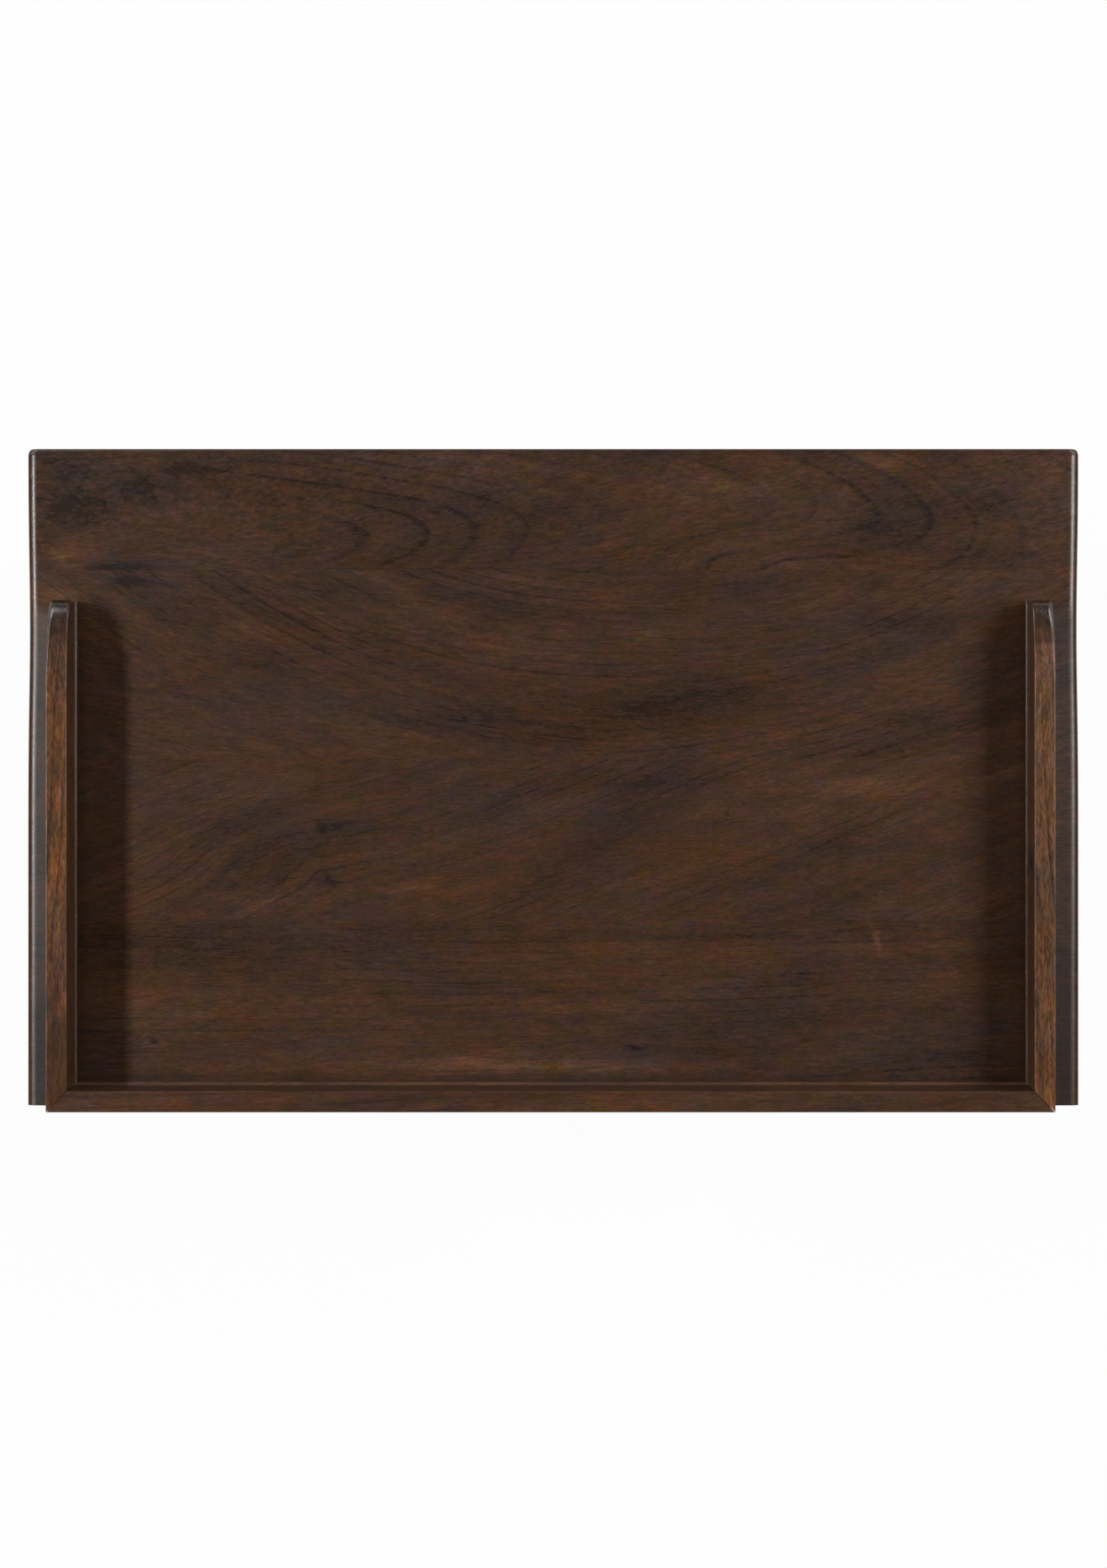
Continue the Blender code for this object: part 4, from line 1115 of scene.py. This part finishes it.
FLOOR_RADIUS = 60.0
FLOOR_STEPS = 96
FLOOR_MOTTLE = Field((3.0, 3.0, 3.0), 3.0, 0.5, 1.0)
FLOOR_COLOURS = stain_of((0.3, 0.7), (240, 240, 240), (246, 246, 246))
# How much of the floor is plain white to the camera, so that the rest still takes the shadow
FLOOR_GLOW = 0.94
WHITE = (1.0, 1.0, 1.0, 1.0)
# Keys, as place, size from front to back and across, and power. The photograph's left is at +X.
KEYS = {
    "left": ((-1.85, -0.36, 2.34), (0.90, 0.80), 42.0),
    "right": ((1.85, -0.19, 2.34), (0.90, 0.24), 45.5),
}
# Glints show only in gloss, on the ends of the rails and on the knobs, as place, size and power
GLINTS = {
    "left": ((-2.00, -2.00, 1.60), (2.20, 0.80), 40.0),
    "right": ((1.90, -2.10, 1.60), (2.52, 0.80), 43.0),
}
AIM = (0.0, 0.0, 0.64)
# Fills stand round the case below the level of its top, as (x, y, power)
FILLS = {
    "front": (0.0, -3.0, 38.0),
    "back": (0.0, 3.0, 34.0),
    "left": (-3.0, 0.0, 22.0),
    "right": (3.0, 0.0, 22.0),
}
FILL_HEIGHT = 0.34
FILL_SIZE = (3.0, 0.56)
# How bright the studio's walls are at heights above the horizon, in degrees, and how bright in gloss
WALLS = ((0.0, 0.40), (12.0, 0.36), (24.0, 0.28), (50.0, 0.05), (90.0, 0.05))
GLOSS_WALLS = 0.07
CAMERA_PLACE = (-0.0266, -0.0474, 2.94)
CAMERA_LENS = 78.11
CAMERA_SHIFT = (-0.0249, -0.0491)


def ray(tree, kind):
    """1 for one kind of ray, such as those that the camera sees."""
    return add(tree, "ShaderNodeLightPath", {}, kind)


def floor_material():
    """Pale floor that reads as white to the camera and in gloss, and still takes the shadow."""
    material, tree, _ = new_material("floor")
    tree.nodes.clear()
    place = add(tree, "ShaderNodeTexCoord", {}, "Object")
    colour = noise(place, FLOOR_MOTTLE).ramp(FLOOR_COLOURS)
    lit = add(tree, "ShaderNodeBsdfDiffuse", {"Color": colour})
    white = add(tree, "ShaderNodeEmission", {"Strength": 1.0})
    seen = ray(tree, "Is Camera Ray").reckon("MAXIMUM", ray(tree, "Is Glossy Ray"))
    seen = seen.reckon("MAXIMUM", ray(tree, "Is Transmission Ray"))
    surface = add(tree, "ShaderNodeMixShader", {0: seen * FLOOR_GLOW, 1: lit, 2: white})
    feed(tree.nodes.new("ShaderNodeOutputMaterial"), {"Surface": surface})
    return material


def make_floor():
    shape = bmesh.new()
    bmesh.ops.create_circle(shape, cap_ends=True, segments=FLOOR_STEPS, radius=FLOOR_RADIUS)
    mesh = bpy.data.meshes.new("floor")
    shape.to_mesh(mesh)
    shape.free()
    mesh.materials.append(floor_material())
    floor = in_scene("floor", mesh)


def make_lamp(name, place, aim, power, size, diffuse=True, glossy=True):
    lamp = bpy.data.lights.new(name, "AREA")
    lamp.energy = power
    lamp.shape = "RECTANGLE"
    lamp.size, lamp.size_y = size
    holder = in_scene(name, lamp)
    holder.location = place
    holder.rotation_mode = "QUATERNION"
    holder.rotation_quaternion = (Vector(aim) - Vector(place)).to_track_quat("-Z", "Y")
    holder.visible_camera = False
    holder.visible_diffuse = diffuse
    holder.visible_glossy = glossy


def make_lamps():
    """Keys that light the top from its sides, glints for the rails' ends and soft fills for the case."""
    for name, (place, size, power) in KEYS.items():
        make_lamp(f"key_{name}", place, AIM, power, size)
    for name, (place, size, power) in GLINTS.items():
        make_lamp(f"glint_{name}", place, AIM, power, size, diffuse=False)
    for name, (x, y, power) in FILLS.items():
        place, aim = (x, y, FILL_HEIGHT), (0.0, 0.0, FILL_HEIGHT)
        make_lamp(f"fill_{name}", place, aim, power, FILL_SIZE, glossy=False)


def make_world():
    """A plain studio: white to the camera, and otherwise grey walls that darken overhead."""
    world = bpy.data.worlds.new("studio")
    bpy.context.scene.world = world
    world.use_nodes = True
    tree = world.node_tree
    tree.nodes.clear()
    height = separate(add(tree, "ShaderNodeTexCoord", {}, "Generated"))[2]
    stops = [(math.sin(math.radians(angle)), (level, level, level, 1.0)) for angle, level in WALLS]
    walls = add(tree, "ShaderNodeBackground", {"Color": height.ramp(stops)})
    in_gloss = add(tree, "ShaderNodeBackground", {"Strength": GLOSS_WALLS})
    white = add(tree, "ShaderNodeBackground", {"Color": WHITE, "Strength": 1.0})
    light = add(tree, "ShaderNodeMixShader", {0: ray(tree, "Is Glossy Ray"), 1: walls, 2: in_gloss})
    light = add(tree, "ShaderNodeMixShader", {0: ray(tree, "Is Camera Ray"), 1: light, 2: white})
    feed(tree.nodes.new("ShaderNodeOutputWorld"), {"Surface": light})


def make_camera():
    camera = bpy.data.cameras.new("camera")
    camera.lens = CAMERA_LENS
    camera.shift_x, camera.shift_y = CAMERA_SHIFT
    holder = in_scene("camera", camera)
    holder.location = CAMERA_PLACE
    holder.rotation_euler = (0.0, 0.0, math.pi)
    bpy.context.scene.camera = holder
    bpy.context.scene.view_settings.view_transform = "Standard"


def main():
    case = wood("case_wood", DARK_STAIN, CASE_FIGURE, gloss=0.34, shine=0.24, contrast=1.25)
    fronts = wood("drawer_front_wood", DARK_STAIN, DRAWER_FIGURE, gloss=0.34, shine=0.24, contrast=1.25)
    back_rail = wood("back_rail_wood", DARK_STAIN, CASE_FIGURE, tone=0.60)
    lacquer = wood("pooled_lacquer", DARK_STAIN, CASE_FIGURE, gloss=0.30, shine=0.8, tone=0.60)
    pale = wood("pale_wood", PALE_WOOD, CASE_FIGURE, gloss=0.5, contrast=0.8, stray_hue=0.2)
    ply = plywood("plywood", PALE_WOOD)
    back_ply = plywood("stained_plywood", STAINED_PLY)
    make_top()
    for name, side in SIDES.items():
        looks = {"contrast": 1.3, "tone": CREST_TONES[name], "crest": GOLDEN_STAIN}
        make_side_rail(name, side, wood(f"{name}_rail_wood", DARK_STAIN, CASE_FIGURE, **looks))
    make_back_rail(back_rail)
    make_bead(lacquer)
    make_case(case, pale, back_ply)
    make_drawers(fronts, pale, ply, aged_bronze("aged_bronze"))
    paint_fixings(clouded("zinc_steel", ZINC), clouded("glide_nylon", NYLON))
    make_floor()
    make_lamps()
    make_world()
    make_camera()


main()
